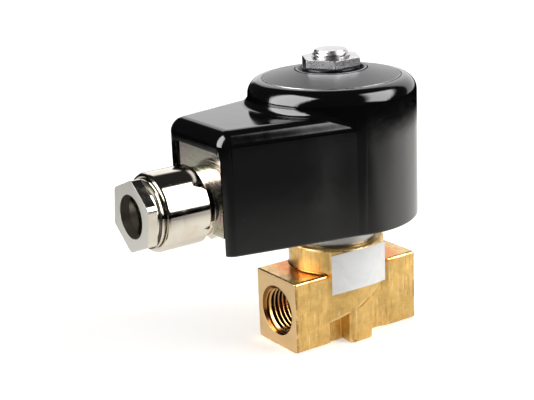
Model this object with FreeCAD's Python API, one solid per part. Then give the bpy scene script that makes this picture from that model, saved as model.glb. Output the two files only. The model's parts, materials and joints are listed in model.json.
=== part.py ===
"""Solenoid valve: a forged brass two-port body, an armature tube with its plunger and seat,
and a coil in a black steel housing with a cable gland, held by one nut on the tube's stud.

Millimetres, +Z up. The origin is on the armature axis, at the underside of the brass body.
X runs along the ports, from the outlet (+X) to the inlet (-X); the cable gland looks along -X.
"""
import FreeCAD, Part

import math
import os

V = FreeCAD.Vector
X_AXIS = V(1, 0, 0)
Y_AXIS = V(0, 1, 0)
Z_AXIS = V(0, 0, 1)

# ---------------------------------------------------------------- driving dimensions
# clearances
RUN = 0.05              # running fit, on the radius
SEAT = 0.05             # gap under a part that can lift off
PLAY = 0.3              # free gap between parts that never touch
THREAD_PLAY = 0.04      # a screw in its thread, on the radius
TUCK = 0.02             # slack round a pressed or moulded insert
OVER = 1.0              # how far a cutting shape reaches past a face
TOL = 0.01              # closeness that picks out an edge

# brass body
BODY_LENGTH = 41.0
BODY_WIDTH = 18.0
BODY_HEIGHT = 20.0
BODY_EDGE = 1.1         # lower long edges
BODY_TOP_EDGE = 0.7     # upper long edges
PORT_HEIGHT = 10.0
PORT_R = 6.58           # thread's major radius
PORT_DEPTH = 11.0
PORT_CHAMFER = 0.35
HUB_R = 13.14
HUB_TOP = 27.3
HUB_CHAMFER = 0.5
HUB_SLOPE = 29.5        # slant of the hub's underside, degrees
HUB_SLANT_Z = 11.6      # height of that slant on the axis
WAIST_LENGTH = 17.8     # neck between the two port blocks
WAIST_DEPTH = 1.2
WAIST_COVE = 0.4
WAIST_EDGE = 0.5
WAIST_SLOPE = 2.4       # how far the outlet block's shoulder slants into the neck
WAIST_SWEEP = 3.0       # rounding of that slant
PILLAR_X = -1.0         # a little towards the inlet
PILLAR_Y = 10.19        # its threaded hole
PILLAR_WIDTH = 7.6
PILLAR_FACE = 12.6      # from the ports' plane to its flat front
PILLAR_TOP = 17.0       # inside the hub
PILLAR_CORNER = 1.3     # rounding of its front corners
PILLAR_EDGE = 0.5
FIX_HOLE_R = 1.65       # tapping hole in each pillar
FIX_HOLE_DEPTH = 6.0
DRILL_POINT = 118.0     # degrees

# seat and passages
ORIFICE_R = 2.0
SEAT_TOP = 17.6
SEAT_LIP = 0.6
SEAT_SLOPE = 1.0        # how much wider the seat nozzle is at its foot
CHAMBER_R = 7.2
CHAMBER_FLOOR = 15.0
SOCKET_DEPTH = 6.8      # thread for the screw ring, from the hub's top
OUTLET_R = 2.5
INLET_R = 1.9
INLET_RISE = 1.0        # where the inlet opens, above the chamber's floor

# armature tube, core and plunger
PLUNGER_R = 6.2
PLUNGER_LENGTH = 26.0
STROKE = 1.2
TUBE_WALL = 0.5
FLANGE_R = 9.0
FLANGE_T = 1.5
SCREW_RING_R = 10.0
RING_COLLAR_R = 11.0
RING_COLLAR_H = 6.35    # the coil stands on it
RING_NOTCHES = 4
RING_NOTCH_WIDTH = 3.0
RING_NOTCH_DEPTH = 1.6
RING_NOTCH_HEIGHT = 2.2
ORING_T = 1.2           # cord of the O-ring under the flange
ORING_PROUD = 0.1       # gap the O-ring seals
ORING_LAND = 0.3        # wall between its groove and the chamber
STUD_R = 5.0
STUD_LENGTH = 16.6
STUD_CHAMFER = 0.95
SHADE_R = 4.9
SHADE_WIDTH = 0.9
SHADE_DEPTH = 1.2
SEAL_R = 3.6
SEAL_T = 2.4
SEAL_PROUD = 0.4
SPRING_R = 2.5          # mean radius of the coils
SPRING_WIRE = 0.35
SPRING_TURNS = 6
SPRING_LENGTH = 9.0
SPRING_POCKET_R = 3.1
SLOT_WIDTH = 1.2        # flats that let fluid past the plunger
SLOTS = 2

# coil and its magnetic frame
COVER_PLAY = 0.4        # from the cover to the round wall
COVER_T = 1.2
YOKE_T = 2.5
YOKE_WIDTH = 18.0
YOKE_ROOM = 0.8         # from the yoke's corners to the round wall
YOKE_BEND = 1.0
COIL_HEIGHT = 22.4
BOBBIN_WALL = 1.0
BOBBIN_FLANGE = 1.5
WINDING_GAP = 0.9       # from the tape to the flange's rim
TAPE_T = 0.4
LUG_WIDTH = 10.0
LUG_REACH = 1.5

# housing
HOUSING_R = 22.56
HOUSING_WALL = 1.25
HOUSING_BOTTOM = 33.65
HOUSING_TOP = 71.75
HOUSING_LIP = 0.6       # rounding of the lower edge
SHOULDER = 4.0          # rounding of every upper edge
SMALLEST_ROUND = 0.5    # what is left of a rounding inside the sheet
BOX_TOP = 65.5
BOX_REACH = 43.46       # from the axis to the box's end face
BOX_END_WIDTH = 26.3    # across the end face; the sides run from there to the can
BOX_TUCK = 0.25         # how far a side wall starts inside the round wall
BOX_CORNER = 3.5
BOX_BLEND = 2.0         # hollow blend between the box's top and the can
WINDOW_JAMB = 1.25      # from the window to the box's side
WINDOW_TOP = 60.1
WINDOW_CORNER = 2.5
PLATE_RIM = 3.96        # top of the can round the nameplate's recess
PLATE_RECESS = 0.85
STUD_HOLE_R = 5.4

# top of the housing
NAMEPLATE_PLAY = 0.25
NAMEPLATE_T = 1.0
NAMEPLATE_SINK = 0.1    # its crown under the dish washer's rim
DISH_R = 9.5
DISH_FLOOR_R = 7.95
DISH_HEEL = 0.4         # how much wider its underside is
DISH_T = 0.7
DISH_HEIGHT = 2.05
LOCK_WASHER_T = 1.7
LOCK_WASHER_R = 7.7
LOCK_SLIT = 1.2
TOP_NUT_FLATS = 14.3
TOP_NUT_T = 2.55
TOP_NUT_TURN = 1.5      # degrees from +X to a corner
HEX_CHAMFER = 0.5

# gland bracket and terminals
BRACKET_T = 1.5
BRACKET_WIDTH = 19.4
BRACKET_DROP = 7.83     # from the gland's axis to the plate's lower edge
BRACKET_BEND = 1.2
BRACKET_SETBACK = 0.15  # plate behind the housing's end wall
BLOCK_LENGTH = 9.0
BLOCK_WIDTH = 19.0
BLOCK_HEIGHT = 9.0
BLOCK_WALL = 1.5        # behind the wire cells
POLES = 3
POLE_PITCH = 6.4
CLAMP_SIZE = 3.6
CLAMP_HOLE_R = 1.2
CLAMP_HOLE_RISE = 0.4   # wire hole above the clamp's middle
CLAMP_SCREW_R = 1.1
CLAMP_SCREW_HEAD_R = 1.5
BLOCK_SCREW_R = 0.9
BLOCK_SCREW_HEAD_R = 1.6
BLOCK_SCREW_INSET = 2.2
SCREW_HEAD_T = 1.2
SCREW_SLOT = 0.5
EARTH_SCREW_R = 2.0
EARTH_SCREW_HEAD_R = 3.2
EARTH_WASHER_R = 3.3
EARTH_WASHER_T = 0.8
LEAD_R = 0.7
LEAD_SPACING = 7.0      # at the bobbin
LEAD_SAG = 2.4
LEAD_PLAY = 0.4

# cable gland
GLAND_HEIGHT = 45.53
GLAND_R = 10.16
GLAND_STANDOFF = 3.24   # from the bracket to the round body
GLAND_LENGTH = 12.42
GLAND_EDGE = 0.9
GLAND_BACK_EDGE = 0.5
GLAND_BORE = 6.2
SPIGOT_R = 8.0
SPIGOT_CHAMFER = 0.5
SPIGOT_INSIDE = 3.16    # how far it reaches into the box
SPIGOT_SHOULDER = 8.8
GLAND_THREAD_R = 8.3
GLAND_POCKET = 10.4     # depth of the front bore
GLAND_WASHER_R = 9.0
GLAND_WASHER_T = 1.5
GLAND_LOCKNUT_FLATS = 19.0
GLAND_LOCKNUT_T = 2.6
GROMMET_LENGTH = 4.6
GROMMET_BORE = 4.3
THRUST_T = 0.8
GLAND_NUT_FLATS = 16.2
GLAND_NUT_TURNED_R = 8.95
GLAND_NUT_REACH = 4.81  # in front of the round body
GLAND_NUT_HEAD = 2.65
GLAND_NUT_HOLE = 5.63
GLAND_NUT_COLLAR_R = 8.9
GLAND_NUT_COLLAR_T = 0.8
GLAND_NUT_COLLAR_GAP = 0.25
GLAND_NUT_NECK_R = 8.1
GLAND_NUT_MOUTH = 0.5

# ---------------------------------------------------------------- derived places
TUBE_BORE = PLUNGER_R + RUN
TUBE_R = TUBE_BORE + TUBE_WALL
SOCKET_R = SCREW_RING_R + THREAD_PLAY
GROOVE_R = CHAMBER_R + ORING_LAND
CHAMBER_TOP = HUB_TOP - SOCKET_DEPTH
FLANGE_Z = CHAMBER_TOP + ORING_PROUD
SEAL_BOTTOM = SEAT_TOP + SEAT
PLUNGER_BOTTOM = SEAL_BOTTOM + SEAL_PROUD
PLUNGER_TOP = PLUNGER_BOTTOM + PLUNGER_LENGTH
CORE_FACE = PLUNGER_TOP + STROKE + SEAT
RING_TOP = HUB_TOP + RING_COLLAR_H
INNER_R = HOUSING_R - HOUSING_WALL
COVER_R = INNER_R - COVER_PLAY
COVER_Z = HOUSING_BOTTOM + SEAT
YOKE_Z = COVER_Z + COVER_T
COIL_Z = YOKE_Z + YOKE_T
YOKE_TOP_Z = COIL_Z + COIL_HEIGHT
ARM_Z = YOKE_TOP_Z + YOKE_T
YOKE_SPAN = 2 * math.sqrt((INNER_R - YOKE_ROOM) ** 2 - (YOKE_WIDTH / 2) ** 2)
BOBBIN_R = YOKE_SPAN / 2 - YOKE_T - YOKE_BEND - RUN
WINDING_R = BOBBIN_R - WINDING_GAP
SPACER_Z = ARM_Z + BRACKET_T
HOUSING_CEILING = HOUSING_TOP - PLATE_RECESS - HOUSING_WALL
BOX_CEILING = BOX_TOP - HOUSING_WALL
END_CORNER = math.hypot(BOX_REACH, BOX_END_WIDTH / 2)
END_ANGLE = math.atan2(BOX_REACH, BOX_END_WIDTH / 2)
BOX_TAPER = END_ANGLE - math.acos((HOUSING_R - BOX_TUCK) / END_CORNER)
WINDOW_WIDTH = BOX_END_WIDTH - 2 * WINDOW_JAMB
PLATE_RECESS_R = HOUSING_R - PLATE_RIM
NAMEPLATE_R = PLATE_RECESS_R - NAMEPLATE_PLAY
NAMEPLATE_Z = HOUSING_TOP - PLATE_RECESS
DISH_Z = NAMEPLATE_Z + NAMEPLATE_T
LOCK_WASHER_Z = DISH_Z + DISH_T + SEAT
TOP_NUT_Z = LOCK_WASHER_Z + LOCK_WASHER_T + SEAT
BRACKET_FACE = BOX_REACH - HOUSING_WALL - BRACKET_SETBACK
BRACKET_BACK = BRACKET_FACE - BRACKET_T
BRACKET_FOOT = GLAND_HEIGHT - BRACKET_DROP
LOCKNUT_BACK = BRACKET_BACK - GLAND_LOCKNUT_T
EARTH_SCREW_X = LOCKNUT_BACK - EARTH_WASHER_R - SEAT
BLOCK_FRONT = EARTH_SCREW_X - EARTH_WASHER_R - PLAY
BLOCK_TOP = ARM_Z - SEAT
BLOCK_Z = BLOCK_TOP - BLOCK_HEIGHT
BLOCK_REAR = BLOCK_FRONT - BLOCK_LENGTH
BLOCK_SCREW_X = BLOCK_REAR + BLOCK_SCREW_INSET
CLAMP_Z = BLOCK_Z + BLOCK_HEIGHT / 2
SPIGOT_END = BRACKET_BACK - SPIGOT_INSIDE
GLAND_BACK = BRACKET_FACE + GLAND_STANDOFF
GLAND_FRONT = GLAND_BACK + GLAND_LENGTH
GLAND_NUT_FACE = GLAND_FRONT + GLAND_NUT_REACH
POCKET_FLOOR = GLAND_FRONT - GLAND_POCKET
GROMMET_FRONT = POCKET_FLOOR + GROMMET_LENGTH
THRUST_BACK = GROMMET_FRONT + SEAT
THRUST_FRONT = THRUST_BACK + THRUST_T
NUT_SHANK_END = THRUST_FRONT + SEAT


# ---------------------------------------------------------------- shape helpers
def cylinder(radius, z0, z1, x=0.0, y=0.0):
    """Upright cylinder between two heights."""
    return Part.makeCylinder(radius, z1 - z0, V(x, y, z0), Z_AXIS)


def ring(outer, inner, z0, z1):
    """Upright tube between two heights, on the armature axis."""
    return cylinder(outer, z0, z1).cut(cylinder(inner, z0, z1))


def block(x0, x1, y0, y1, z0, z1):
    """Box between two corners."""
    return Part.makeBox(x1 - x0, y1 - y0, z1 - z0, V(x0, y0, z0))


def turned(profile):
    """Solid of revolution round the armature axis from (radius, height) points."""
    points = [V(r, 0, z) for r, z in profile]
    face = Part.Face(Part.makePolygon(points + points[:1]))
    return face.revolve(V(0, 0, 0), Z_AXIS, 360)


def gland_turned(profile):
    """Solid of revolution round the gland axis from (distance out, radius) points."""
    points = [V(-out, 0, GLAND_HEIGHT + r) for out, r in profile]
    face = Part.Face(Part.makePolygon(points + points[:1]))
    return face.revolve(V(0, 0, GLAND_HEIGHT), X_AXIS, 360)


def gland_bar(radius, near, far, y=0.0, z=GLAND_HEIGHT):
    """Cylinder along -X between two distances from the armature axis."""
    return Part.makeCylinder(radius, far - near, V(-far, y, z), X_AXIS)


def hexagon(flats, height, turn=0.0):
    """Hexagonal prism on +Z, with a corner at the given angle from +X."""
    reach = flats / 2 / math.cos(math.pi / 6)
    corners = []
    for k in range(6):
        angle = math.radians(turn + 60 * k)
        corners.append(V(reach * math.cos(angle), reach * math.sin(angle), 0))
    face = Part.Face(Part.makePolygon(corners + corners[:1]))
    return face.extrude(V(0, 0, height))


def turned_hexagon(flats, height, turned_r, chamfer, turn=0.0):
    """Hexagon whose corners are turned off by a cone at both ends."""
    steep = 2 * chamfer
    cone = turned([(0, 0), (turned_r - steep, 0), (turned_r, chamfer),
                   (turned_r, height - chamfer), (turned_r - steep, height), (0, height)])
    return hexagon(flats, height, turn).common(cone)


def edges_at(shape, test):
    """Edges of a shape whose every vertex passes a test."""
    return [e for e in shape.Edges if all(test(v.Point) for v in e.Vertexes)]


def drilled(radius, base, direction, depth):
    """Blind drilled hole with its conical end, from a mouth point inwards."""
    point = radius / math.tan(math.radians(DRILL_POINT / 2))
    hole = Part.makeCylinder(radius, depth, base, direction)
    end = base + direction * depth
    return hole.fuse(Part.makeCone(radius, 0, point, end, direction))


def on_ring(count, radius, start=0.0):
    """Evenly spaced points on a circle."""
    for k in range(count):
        angle = math.radians(start) + 2 * math.pi * k / count
        yield radius * math.cos(angle), radius * math.sin(angle), math.degrees(angle)


# ---------------------------------------------------------------- brass body
def neck(sign):
    """What is cut from one side of the bar: steep at the inlet block, slanted at the outlet block."""
    half = WAIST_LENGTH / 2
    inner = BODY_WIDTH / 2 - WAIST_DEPTH
    outer = BODY_WIDTH / 2 + PLAY
    slant = half + WAIST_SLOPE * (WAIST_DEPTH + PLAY) / WAIST_DEPTH
    plan = [(-half, inner), (half, inner), (slant, outer), (-half, outer)]
    corners = [V(x, sign * y, -PLAY) for x, y in plan]
    shape = Part.Face(Part.makePolygon(corners + corners[:1])).extrude(V(0, 0, BODY_HEIGHT + 2 * PLAY))
    floor = [e for e in shape.Edges if all(abs(abs(v.Y) - inner) < TOL for v in e.Vertexes)]
    steep = [e for e in floor if all(v.X < 0 for v in e.Vertexes)]
    shape = shape.makeFillet(WAIST_COVE, steep)
    gentle = edges_at(shape, lambda p: abs(abs(p.y) - inner) < TOL and p.x > half - TOL)
    return shape.makeFillet(WAIST_SWEEP, gentle)


def port_blocks():
    """The long forged bar with both port ends, necked in at the middle."""
    half = BODY_LENGTH / 2
    side = BODY_WIDTH / 2
    bar = block(-half, half, -side, side, 0, BODY_HEIGHT)
    long = [e for e in bar.Edges if abs(e.Length - BODY_LENGTH) < TOL]
    low = [e for e in long if e.CenterOfMass.z < TOL]
    plan = bar.cut([neck(-1), neck(1)])
    for x, radius in ((-WAIST_LENGTH / 2, WAIST_EDGE), (WAIST_LENGTH / 2 + WAIST_SLOPE, WAIST_SWEEP)):
        lips = edges_at(plan, lambda p: abs(p.x - x) < TOL and abs(abs(p.y) - side) < TOL)
        plan = plan.makeFillet(radius, lips)
    bar = bar.makeFillet(BODY_EDGE, low)
    high = edges_at(bar, lambda p: p.z > BODY_HEIGHT - TOL)
    high = [e for e in high if abs(e.Length - BODY_LENGTH) < TOL]
    return bar.makeFillet(BODY_TOP_EDGE, high).common(plan)


def hub():
    """Round hub with a slanted underside, standing on the two fixing pillars."""
    shape = turned([(0, 0), (HUB_R, 0), (HUB_R, HUB_TOP - HUB_CHAMFER),
                    (HUB_R - HUB_CHAMFER, HUB_TOP), (0, HUB_TOP)])
    reach = 2 * HUB_R
    rise = reach * math.tan(math.radians(HUB_SLOPE))
    low = HUB_SLANT_Z - rise
    wedge = [V(-reach, -reach, low), V(reach, -reach, HUB_SLANT_Z + rise),
             V(reach, -reach, -reach), V(-reach, -reach, -reach)]
    face = Part.Face(Part.makePolygon(wedge + wedge[:1]))
    return shape.cut(face.extrude(V(0, 2 * reach, 0)))


def pillar(sign):
    """Fixing pillar with a flat front, rounded corners and a rounded foot."""
    face = sign * PILLAR_FACE
    half = PILLAR_WIDTH / 2
    shape = block(PILLAR_X - half, PILLAR_X + half, min(face, 0), max(face, 0), 0, PILLAR_TOP)
    corners = edges_at(shape, lambda p: abs(p.y - face) < TOL)
    corners = [e for e in corners if abs(e.Length - PILLAR_TOP) < TOL]
    shape = shape.makeFillet(PILLAR_CORNER, corners)
    foot = edges_at(shape, lambda p: p.z < TOL and abs(p.y) > TOL)
    return shape.makeFillet(PILLAR_EDGE, foot)


def valve_body():
    """Forged brass body: ports, seat nozzle, armature socket and fixing threads."""
    shape = port_blocks().fuse([hub(), pillar(-1), pillar(1)]).removeSplitter()
    end = BODY_LENGTH / 2
    for sign in (-1, 1):
        mouth = V(sign * end, 0, PORT_HEIGHT)
        inwards = V(-sign, 0, 0)
        shape = shape.cut(drilled(PORT_R, mouth, inwards, PORT_DEPTH))
        shape = shape.cut(Part.makeCone(PORT_R + PORT_CHAMFER, PORT_R, PORT_CHAMFER, mouth, inwards))
        hole = V(PILLAR_X, sign * PILLAR_Y, 0)
        shape = shape.cut(drilled(FIX_HOLE_R, hole, Z_AXIS, FIX_HOLE_DEPTH))
    lip = ORIFICE_R + SEAT_LIP
    cavity = turned([(ORIFICE_R, PORT_HEIGHT), (ORIFICE_R, SEAT_TOP), (lip, SEAT_TOP),
                     (lip + SEAT_SLOPE, CHAMBER_FLOOR), (CHAMBER_R, CHAMBER_FLOOR),
                     (CHAMBER_R, CHAMBER_TOP), (SOCKET_R, CHAMBER_TOP), (SOCKET_R, HUB_TOP),
                     (0, HUB_TOP), (0, PORT_HEIGHT)])
    groove = ring(FLANGE_R, GROOVE_R, CHAMBER_TOP - ORING_T, CHAMBER_TOP)
    shape = shape.cut([cavity, groove])
    outlet = Part.makeCylinder(OUTLET_R, end, V(0, 0, PORT_HEIGHT), X_AXIS)
    start = V(PORT_DEPTH - end, 0, PORT_HEIGHT + PORT_R / 2)
    finish = V(-(CHAMBER_R + lip + SEAT_SLOPE) / 2, 0, CHAMBER_FLOOR + INLET_RISE)
    run = finish.sub(start)
    inlet = Part.makeCylinder(INLET_R, run.Length, start, run)
    return shape.cut([outlet, inlet])


def body_o_ring():
    """O-ring in the groove under the tube's flange."""
    mean = (FLANGE_R + GROOVE_R) / 2
    return Part.makeTorus(mean, ORING_T / 2 - TUCK, V(0, 0, CHAMBER_TOP - ORING_T / 2))


# ---------------------------------------------------------------- armature
def armature_tube():
    """Drawn stainless tube with a flange at its foot."""
    return turned([(TUBE_BORE, FLANGE_Z), (FLANGE_R, FLANGE_Z), (FLANGE_R, FLANGE_Z + FLANGE_T),
                   (TUBE_R, FLANGE_Z + FLANGE_T), (TUBE_R, ARM_Z - PLAY),
                   (TUBE_BORE, ARM_Z - PLAY)])


def screw_ring():
    """Threaded ring that holds the flange down, with spanner notches in its collar."""
    bore = TUBE_R + RUN
    shape = turned([(bore, FLANGE_Z + FLANGE_T), (SCREW_RING_R, FLANGE_Z + FLANGE_T),
                    (SCREW_RING_R, HUB_TOP), (RING_COLLAR_R, HUB_TOP),
                    (RING_COLLAR_R, RING_TOP), (bore, RING_TOP)])
    half = RING_NOTCH_WIDTH / 2
    for _, _, angle in on_ring(RING_NOTCHES, RING_COLLAR_R, 45.0):
        notch = block(RING_COLLAR_R - RING_NOTCH_DEPTH, RING_COLLAR_R + OVER, -half, half,
                      RING_TOP - RING_NOTCH_HEIGHT, RING_TOP + OVER)
        notch.rotate(V(0, 0, 0), Z_AXIS, angle)
        shape = shape.cut(notch)
    return shape


def fixed_core():
    """Pole piece closing the tube, with the threaded stud above it."""
    radius = TUBE_BORE - RUN / 2
    stud_top = ARM_Z + STUD_LENGTH
    shape = turned([(0, CORE_FACE), (radius, CORE_FACE), (radius, ARM_Z - PLAY),
                    (STUD_R, ARM_Z - PLAY), (STUD_R, stud_top - STUD_CHAMFER),
                    (STUD_R - STUD_CHAMFER, stud_top), (0, stud_top)])
    groove = ring(SHADE_R, SHADE_R - SHADE_WIDTH, CORE_FACE, CORE_FACE + SHADE_DEPTH)
    return shape.cut(groove)


def shading_ring():
    """Copper ring pressed into the core's face, which stops the armature's hum."""
    return ring(SHADE_R - TUCK, SHADE_R - SHADE_WIDTH + TUCK, CORE_FACE + TUCK,
                CORE_FACE + SHADE_DEPTH - TUCK)


def plunger():
    """Magnetic plunger: a seal pocket below, a spring pocket above, flow slots along it."""
    spring_floor = CORE_FACE - SPRING_LENGTH
    shape = cylinder(PLUNGER_R, PLUNGER_BOTTOM, PLUNGER_TOP)
    pocket = cylinder(SEAL_R + TUCK, PLUNGER_BOTTOM, PLUNGER_BOTTOM + SEAL_T - SEAL_PROUD)
    well = cylinder(SPRING_POCKET_R, spring_floor, PLUNGER_TOP)
    shape = shape.cut([pocket, well])
    half = SLOT_WIDTH / 2
    for _, _, angle in on_ring(SLOTS, PLUNGER_R, 90.0):
        slot = block(PLUNGER_R - SLOT_WIDTH, PLUNGER_R + OVER, -half, half,
                     PLUNGER_BOTTOM, PLUNGER_TOP)
        slot.rotate(V(0, 0, 0), Z_AXIS, angle)
        shape = shape.cut(slot)
    return shape


def plunger_seal():
    """Rubber disc that closes the seat."""
    return cylinder(SEAL_R, SEAL_BOTTOM, SEAL_BOTTOM + SEAL_T - TUCK)


def plunger_spring():
    """Return spring between the plunger's well and the core."""
    base = CORE_FACE - SPRING_LENGTH + SPRING_WIRE + SEAT
    height = SPRING_LENGTH - 2 * (SPRING_WIRE + SEAT)
    path = Part.makeHelix(height / SPRING_TURNS, height, SPRING_R)
    path.translate(V(0, 0, base))
    circle = Part.makeCircle(SPRING_WIRE, V(SPRING_R, 0, base), Y_AXIS)
    return Part.Wire(path).makePipeShell([Part.Wire(circle)], True, True)


# ---------------------------------------------------------------- coil
def bottom_cover():
    """Round sheet-steel cover that closes the housing below the coil."""
    return ring(COVER_R, TUBE_R + RUN, COVER_Z, COVER_Z + COVER_T)


def yoke_frame():
    """U-shaped steel strap: floor and both sides of the magnetic circuit."""
    half = YOKE_WIDTH / 2
    span = YOKE_SPAN / 2
    outer = block(-half, half, -span, span, YOKE_Z, YOKE_TOP_Z)
    bends = [e for e in edges_at(outer, lambda p: p.z < YOKE_Z + TOL)
             if abs(e.Length - YOKE_WIDTH) < TOL]
    outer = outer.makeFillet(YOKE_BEND + YOKE_T, bends)
    inner = block(-half, half, YOKE_T - span, span - YOKE_T, COIL_Z, YOKE_TOP_Z)
    bends = [e for e in edges_at(inner, lambda p: p.z < COIL_Z + TOL)
             if abs(e.Length - YOKE_WIDTH) < TOL]
    inner = inner.makeFillet(YOKE_BEND, bends)
    return outer.cut([inner, cylinder(TUBE_R + RUN, YOKE_Z, COIL_Z)])


def yoke_top_plate():
    """Flat plate across the strap's ends, round the tube."""
    half = YOKE_WIDTH / 2
    span = YOKE_SPAN / 2
    shape = block(-half, half, -span, span, YOKE_TOP_Z, ARM_Z)
    return shape.cut(cylinder(TUBE_R + RUN, YOKE_TOP_Z, ARM_Z))


def coil_bobbin():
    """Plastic bobbin with a lug for the leads on its upper flange."""
    bore = TUBE_R + PLAY
    low = COIL_Z + SEAT
    high = YOKE_TOP_Z - SEAT
    wall = bore + BOBBIN_WALL
    shape = turned([(bore, low), (BOBBIN_R, low), (BOBBIN_R, low + BOBBIN_FLANGE),
                    (wall, low + BOBBIN_FLANGE), (wall, high - BOBBIN_FLANGE),
                    (BOBBIN_R, high - BOBBIN_FLANGE), (BOBBIN_R, high), (bore, high)])
    lug = block(-BOBBIN_R - LUG_REACH, -BOBBIN_R + LUG_REACH, -LUG_WIDTH / 2, LUG_WIDTH / 2,
                high - BOBBIN_FLANGE, high)
    return shape.fuse(lug).removeSplitter()


def coil_winding():
    """Copper winding between the flanges."""
    inner = TUBE_R + PLAY + BOBBIN_WALL
    low = COIL_Z + SEAT + BOBBIN_FLANGE
    high = YOKE_TOP_Z - SEAT - BOBBIN_FLANGE
    return ring(WINDING_R, inner, low, high)


def winding_tape():
    """Insulating tape round the winding."""
    low = COIL_Z + SEAT + BOBBIN_FLANGE
    high = YOKE_TOP_Z - SEAT - BOBBIN_FLANGE
    return ring(WINDING_R + TAPE_T, WINDING_R, low, high)


def spacer_bush():
    """Bush that carries the nut's clamping force down to the yoke."""
    return ring(DISH_FLOOR_R, STUD_R + RUN, SPACER_Z, HOUSING_CEILING)


# ---------------------------------------------------------------- housing
def box_side_y(reach, wall):
    """Half-width of the box at a distance from the axis, less a wall."""
    return (HOUSING_R - BOX_TUCK - wall - reach * math.sin(BOX_TAPER)) / math.cos(BOX_TAPER)


def housing_form(wall, top, box_top, bottom):
    """Round can fused with the tapered terminal box, both rounded along the top."""
    radius = HOUSING_R - wall
    shoulder = max(SHOULDER - wall, SMALLEST_ROUND)
    can = cylinder(radius, bottom, top)
    can = can.makeFillet(shoulder, edges_at(can, lambda p: p.z > top - TOL))
    near = radius * math.sin(BOX_TAPER)
    far = BOX_REACH - wall
    corners = [V(-near, -box_side_y(near, wall), bottom), V(-far, -box_side_y(far, wall), bottom),
               V(-far, box_side_y(far, wall), bottom), V(-near, box_side_y(near, wall), bottom)]
    face = Part.Face(Part.makePolygon(corners + corners[:1]))
    box = face.extrude(V(0, 0, box_top - bottom))
    posts = edges_at(box, lambda p: p.x < TOL - far)
    posts = [e for e in posts if abs(e.Length - box_top + bottom) < TOL]
    box = box.makeFillet(max(BOX_CORNER - wall, SMALLEST_ROUND), posts)
    rim = edges_at(box, lambda p: p.z > box_top - TOL)
    rim = [e for e in rim if e.CenterOfMass.x < -near - TOL]
    box = box.makeFillet(shoulder, rim)
    return can.fuse(box)


def window():
    """Cable side of the box: an opening through its end wall, down to the bottom edge."""
    half = WINDOW_WIDTH / 2
    front = BOX_REACH + OVER
    shape = block(-front, -BRACKET_FACE, -half, half, HOUSING_BOTTOM - OVER, WINDOW_TOP)
    corners = [e for e in edges_at(shape, lambda p: p.z > WINDOW_TOP - TOL)
               if abs(e.Length - front + BRACKET_FACE) < TOL]
    return shape.makeFillet(WINDOW_CORNER, corners)


def blend_edges(form):
    """Edges where the box's top and its roundings meet the can."""
    def on_can(p):
        return BOX_TOP - SHOULDER - TOL < p.z < BOX_TOP + TOL and abs(math.hypot(p.x, p.y) - HOUSING_R) < TOL
    return edges_at(form, on_can)


def housing_shell():
    """Deep-drawn steel housing: open below, with a recess on top for the nameplate."""
    outer = housing_form(0, HOUSING_TOP, BOX_TOP, HOUSING_BOTTOM)
    outer = outer.makeFillet(BOX_BLEND, blend_edges(outer))
    outer = outer.makeFillet(HOUSING_LIP, edges_at(outer, lambda p: p.z < HOUSING_BOTTOM + TOL))
    inner = housing_form(HOUSING_WALL, HOUSING_CEILING, BOX_CEILING, HOUSING_BOTTOM - OVER)
    recess = cylinder(PLATE_RECESS_R, NAMEPLATE_Z, HOUSING_TOP + OVER)
    hole = cylinder(STUD_HOLE_R, HOUSING_CEILING - OVER, HOUSING_TOP)
    return outer.cut([inner, recess, hole, window()])


# ---------------------------------------------------------------- top parts
def nameplate():
    """Pressed aluminium cone that rises from the housing's recess to a pocket for the dish washer."""
    base = NAMEPLATE_Z
    crown = DISH_Z + DISH_HEIGHT - NAMEPLATE_SINK
    pocket = DISH_R + NAMEPLATE_PLAY
    return turned([(STUD_HOLE_R, base), (pocket + NAMEPLATE_T, base),
                   (pocket + NAMEPLATE_T, crown - NAMEPLATE_T), (NAMEPLATE_R - NAMEPLATE_T, base),
                   (NAMEPLATE_R, base), (NAMEPLATE_R, DISH_Z), (pocket, crown), (pocket, DISH_Z),
                   (STUD_HOLE_R, DISH_Z)])


def dish_washer():
    """Dished washer with an upturned rim under the nut."""
    foot = DISH_FLOOR_R + DISH_HEEL
    rim = DISH_Z + DISH_HEIGHT
    return turned([(STUD_HOLE_R, DISH_Z), (foot, DISH_Z), (DISH_R, rim), (DISH_R - DISH_T, rim),
                   (DISH_FLOOR_R, DISH_Z + DISH_T), (STUD_HOLE_R, DISH_Z + DISH_T)])


def lock_washer():
    """Split spring washer."""
    shape = ring(LOCK_WASHER_R, STUD_HOLE_R, LOCK_WASHER_Z, LOCK_WASHER_Z + LOCK_WASHER_T)
    half = LOCK_SLIT / 2
    return shape.cut(block(-half, half, 0, LOCK_WASHER_R, LOCK_WASHER_Z, LOCK_WASHER_Z + LOCK_WASHER_T))


def top_nut():
    """Thin hexagon nut on the tube's stud."""
    reach = TOP_NUT_FLATS / 2 / math.cos(math.pi / 6)
    shape = turned_hexagon(TOP_NUT_FLATS, TOP_NUT_T, reach, HEX_CHAMFER / 2, TOP_NUT_TURN)
    shape = shape.cut(cylinder(STUD_R + THREAD_PLAY, 0, TOP_NUT_T))
    shape.translate(V(0, 0, TOP_NUT_Z))
    return shape


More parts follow.
